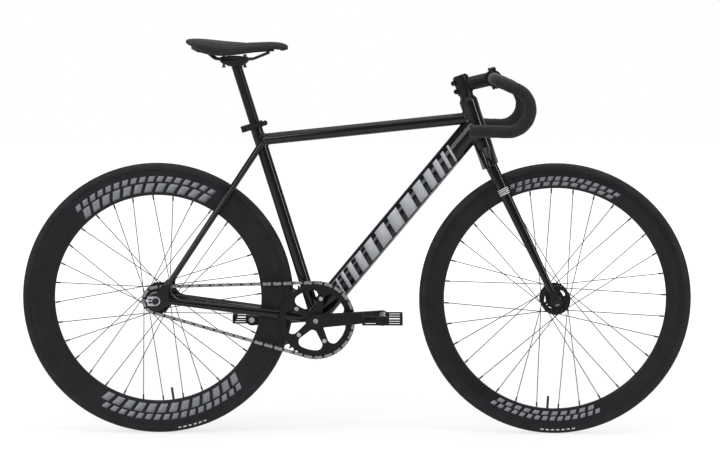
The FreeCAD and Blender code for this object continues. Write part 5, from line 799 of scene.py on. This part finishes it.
stations = np.array(saddle["stations"])
along = np.concatenate([np.linspace(*row) for row in saddle["rows"]])
shape = throughPoints(stations[:, 0], stations[:, 1:], along)
half = shape[:, 0] * saddle["width"] / 2
crown = cradle[2] + shape[:, 1] * saddle["top"]
skirt = cradle[2] + shape[:, 2] * saddle["top"]
rightSide = np.array(saddle["section"])
section = closedLine(np.concatenate([rightSide, rightSide[-2:0:-1] * [-1, 1]]), saddle["around"])
saddleBack = cradle[0] - saddle["back"]
pad = np.zeros((len(along), len(section), 3))
pad[..., 0] = (saddleBack + along * saddle["length"])[:, None]
pad[..., 1] = half[:, None] * section[:, 0]
pad[..., 2] = skirt[:, None] + (crown - skirt)[:, None] * section[:, 1]
saddlePad = makeClosed("saddlePad", pad, "seat", "saddle_skin")

# even cells, then cloth under air pressure with its underside held, and no point moves past the cap
cells = saddlePad.modifiers.new("cells", "REMESH")
cells.mode, cells.voxel_size = "VOXEL", saddle["voxel"]
bakeModifiers(saddlePad)
rest = meshPoints(saddlePad.data)
under = np.flatnonzero(meshPoints(saddlePad.data, "normal")[:, 2] < saddle["heldBelow"])
held = saddlePad.vertex_groups.new(name="held")
held.add(under.tolist(), 1.0, "REPLACE")
cloth = saddlePad.modifiers.new("cloth", "CLOTH")
cloth.settings.use_pressure = True
cloth.settings.uniform_pressure_force = saddle["pressure"]
cloth.settings.vertex_group_mass = "held"
cloth.settings.effector_weights.gravity = 0.0
cloth.point_cache.frame_start, cloth.point_cache.frame_end = 1, saddle["frames"]
for number in range(1, saddle["frames"] + 1):
    scene.frame_set(number)
bakeModifiers(saddlePad)
moved = meshPoints(saddlePad.data) - rest
far = np.linalg.norm(moved, axis=1, keepdims=True)
movePoints(saddlePad.data, rest + moved * np.minimum(1, saddle["swell"] / np.maximum(far, 1e-9)))
scene.frame_set(1)
print("saddle swelled by up to %.1f mm" % (min(far.max(), saddle["swell"]) * 1000))
finer = saddlePad.modifiers.new("finer", "SUBSURF")
finer.levels = finer.render_levels = saddle["smoothing"]
bakeModifiers(saddlePad)

# the cover's side seam: a groove that follows a share of the half width, with a row of stitches outside it
places, normals = meshPoints(saddlePad.data), meshPoints(saddlePad.data, "normal")
share = np.clip((places[:, 0] - saddleBack) / saddle["length"], 0, 1)
off = np.abs(places[:, 1]) - saddle["seam"] * np.interp(share, along, half)
groove = saddle["grooveDeep"] * np.exp(-(off / saddle["grooveWide"]) ** 2) * (normals[:, 2] > 0)
movePoints(saddlePad.data, places - groove[:, None] * normals)
saddlePad.data.polygons.foreach_set("use_smooth", np.ones(len(saddlePad.data.polygons), bool))
saddlePad.data.update()
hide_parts("saddle_cover")

# a stitch is a long bead: a ball drawn out along the seam, at the height of the cover's nearest point, with
# the heights evened out over its neighbours
upper = places[normals[:, 2] > saddle["upperAbove"]]
seamAt = np.arange(*saddle["stitched"], saddle["stitch"] / saddle["length"])
stitchX = saddleBack + seamAt * saddle["length"]
stitchY = saddle["seam"] * np.interp(seamAt, along, half) + saddle["stitchOff"]
polar = np.linspace(saddle["pole"], math.pi - saddle["pole"], saddle["stitchRings"])[:, None, None]
turn = wholeTurn(saddle["stitchAround"])[:, None]
evening = np.ones(saddle["evened"]) / saddle["evened"]
for side, sideName in sides:
    spots = np.stack([stitchX, side * stitchY], -1)
    near = ((upper[None, :, :2] - spots[:, None]) ** 2).sum(-1).argmin(1)
    height = np.convolve(np.pad(upper[near, 2], len(evening) // 2, mode="edge"), evening, mode="valid")
    centre = np.concatenate([spots, height[:, None]], 1)[:, None, None]
    lay = unit(np.gradient(centre, axis=0))
    aside = unit(np.cross(lay, skyWay))
    girth = np.cos(turn) * aside + np.sin(turn) * np.cross(aside, lay)
    bead = (centre + saddle["stitch"] * saddle["stitchHalf"] * np.cos(polar) * lay
            + saddle["thread"] * np.sin(polar) * girth)
    makeClosed("saddleStitches." + sideName, bead, "seat", "saddle_skin", looks["bondedThread"])

# forged seatpost head: a cradle that rises to both ends and an arched plate over it, each a closed line of
# points in mm from the middle of the rails, carried across with its edges drawn in to a round
clampHead = {
    "cradle": ((-34.5, -0.6), (-34.6, -5.0), (-30.0, -10.0), (-20.0, -14.0), (-13.0, -17.4), (5.0, -18.0),
               (20.0, -17.4), (26.0, -13.0), (33.0, -8.0), (34.8, -4.0), (34.5, -0.6), (20.0, -0.3),
               (0.0, -0.3), (-20.0, -0.3)),
    "plate": ((-34.0, 0.6), (-34.6, 2.5), (-32.0, 5.5), (-20.0, 6.6), (-8.0, 7.7), (8.0, 7.7), (20.0, 6.6),
              (32.0, 5.5), (34.6, 2.5), (34.0, 0.6), (20.0, 0.4), (8.0, 0.4), (-8.0, 0.4), (-20.0, 0.4)),
    "halfWide": 0.0278, "inset": 0.10, "edgePower": 8, "edgeShare": 0.999, "rings": 21, "around": 56}
across = np.linspace(-1, 1, clampHead["rings"])[:, None, None]
edge = np.sqrt(1 - np.abs(across) ** clampHead["edgePower"] * clampHead["edgeShare"])
heads = []
for name in ("cradle", "plate"):
    line = closedLine(np.array(clampHead[name]) / 1000, clampHead["around"])
    middle = line.mean(0)
    shaped = middle + (line - middle) * (1 - clampHead["inset"] * (1 - edge))
    aside = clampHead["halfWide"] * across[..., 0] + 0 * shaped[..., 0]
    heads.append(cradle + np.stack([shaped[..., 0], aside, shaped[..., 1]], -1))
clamp = makeClosed("forgedClamp", np.stack(heads), "seat", "black_alloy")
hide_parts("seatpost_clamp")

# bumper under the tail: a rounded oblong section, the signed root of a circle's, carried across on a shallow
# arc and drawn in at both ends
bumper = {"place": (0.0235, 0.0245), "long": 0.024, "tall": 0.011, "tilt": -29.0, "reach": 0.033, "bow": 6.0,
          "endPower": 6, "endLeast": 0.02, "rings": 25, "around": 32}
across = np.linspace(-1, 1, bumper["rings"])[:, None]
turn = wholeTurn(bumper["around"])
circle = np.stack([np.cos(turn), np.sin(turn)])
oblong = np.sign(circle) * np.sqrt(np.abs(circle))
shrink = np.sqrt(np.clip(1 - np.abs(across) ** bumper["endPower"], bumper["endLeast"], 1))
lengthwise = bumper["long"] / 2 * oblong[0] * shrink
upright = bumper["tall"] / 2 * oblong[1] * shrink
tilt = math.radians(bumper["tilt"])
aside = bumper["reach"] * across + 0 * upright
forward = math.cos(tilt) * lengthwise - math.sin(tilt) * upright + bumper["bow"] * aside ** 2
up = math.sin(tilt) * lengthwise + math.cos(tilt) * upright
tail = np.stack([saddleBack + bumper["place"][0] + forward, aside, cradle[2] + bumper["place"][1] + up], -1)
makeClosed("saddleBumper", tail, "seat", "black_plastic")
print("saddle covered")
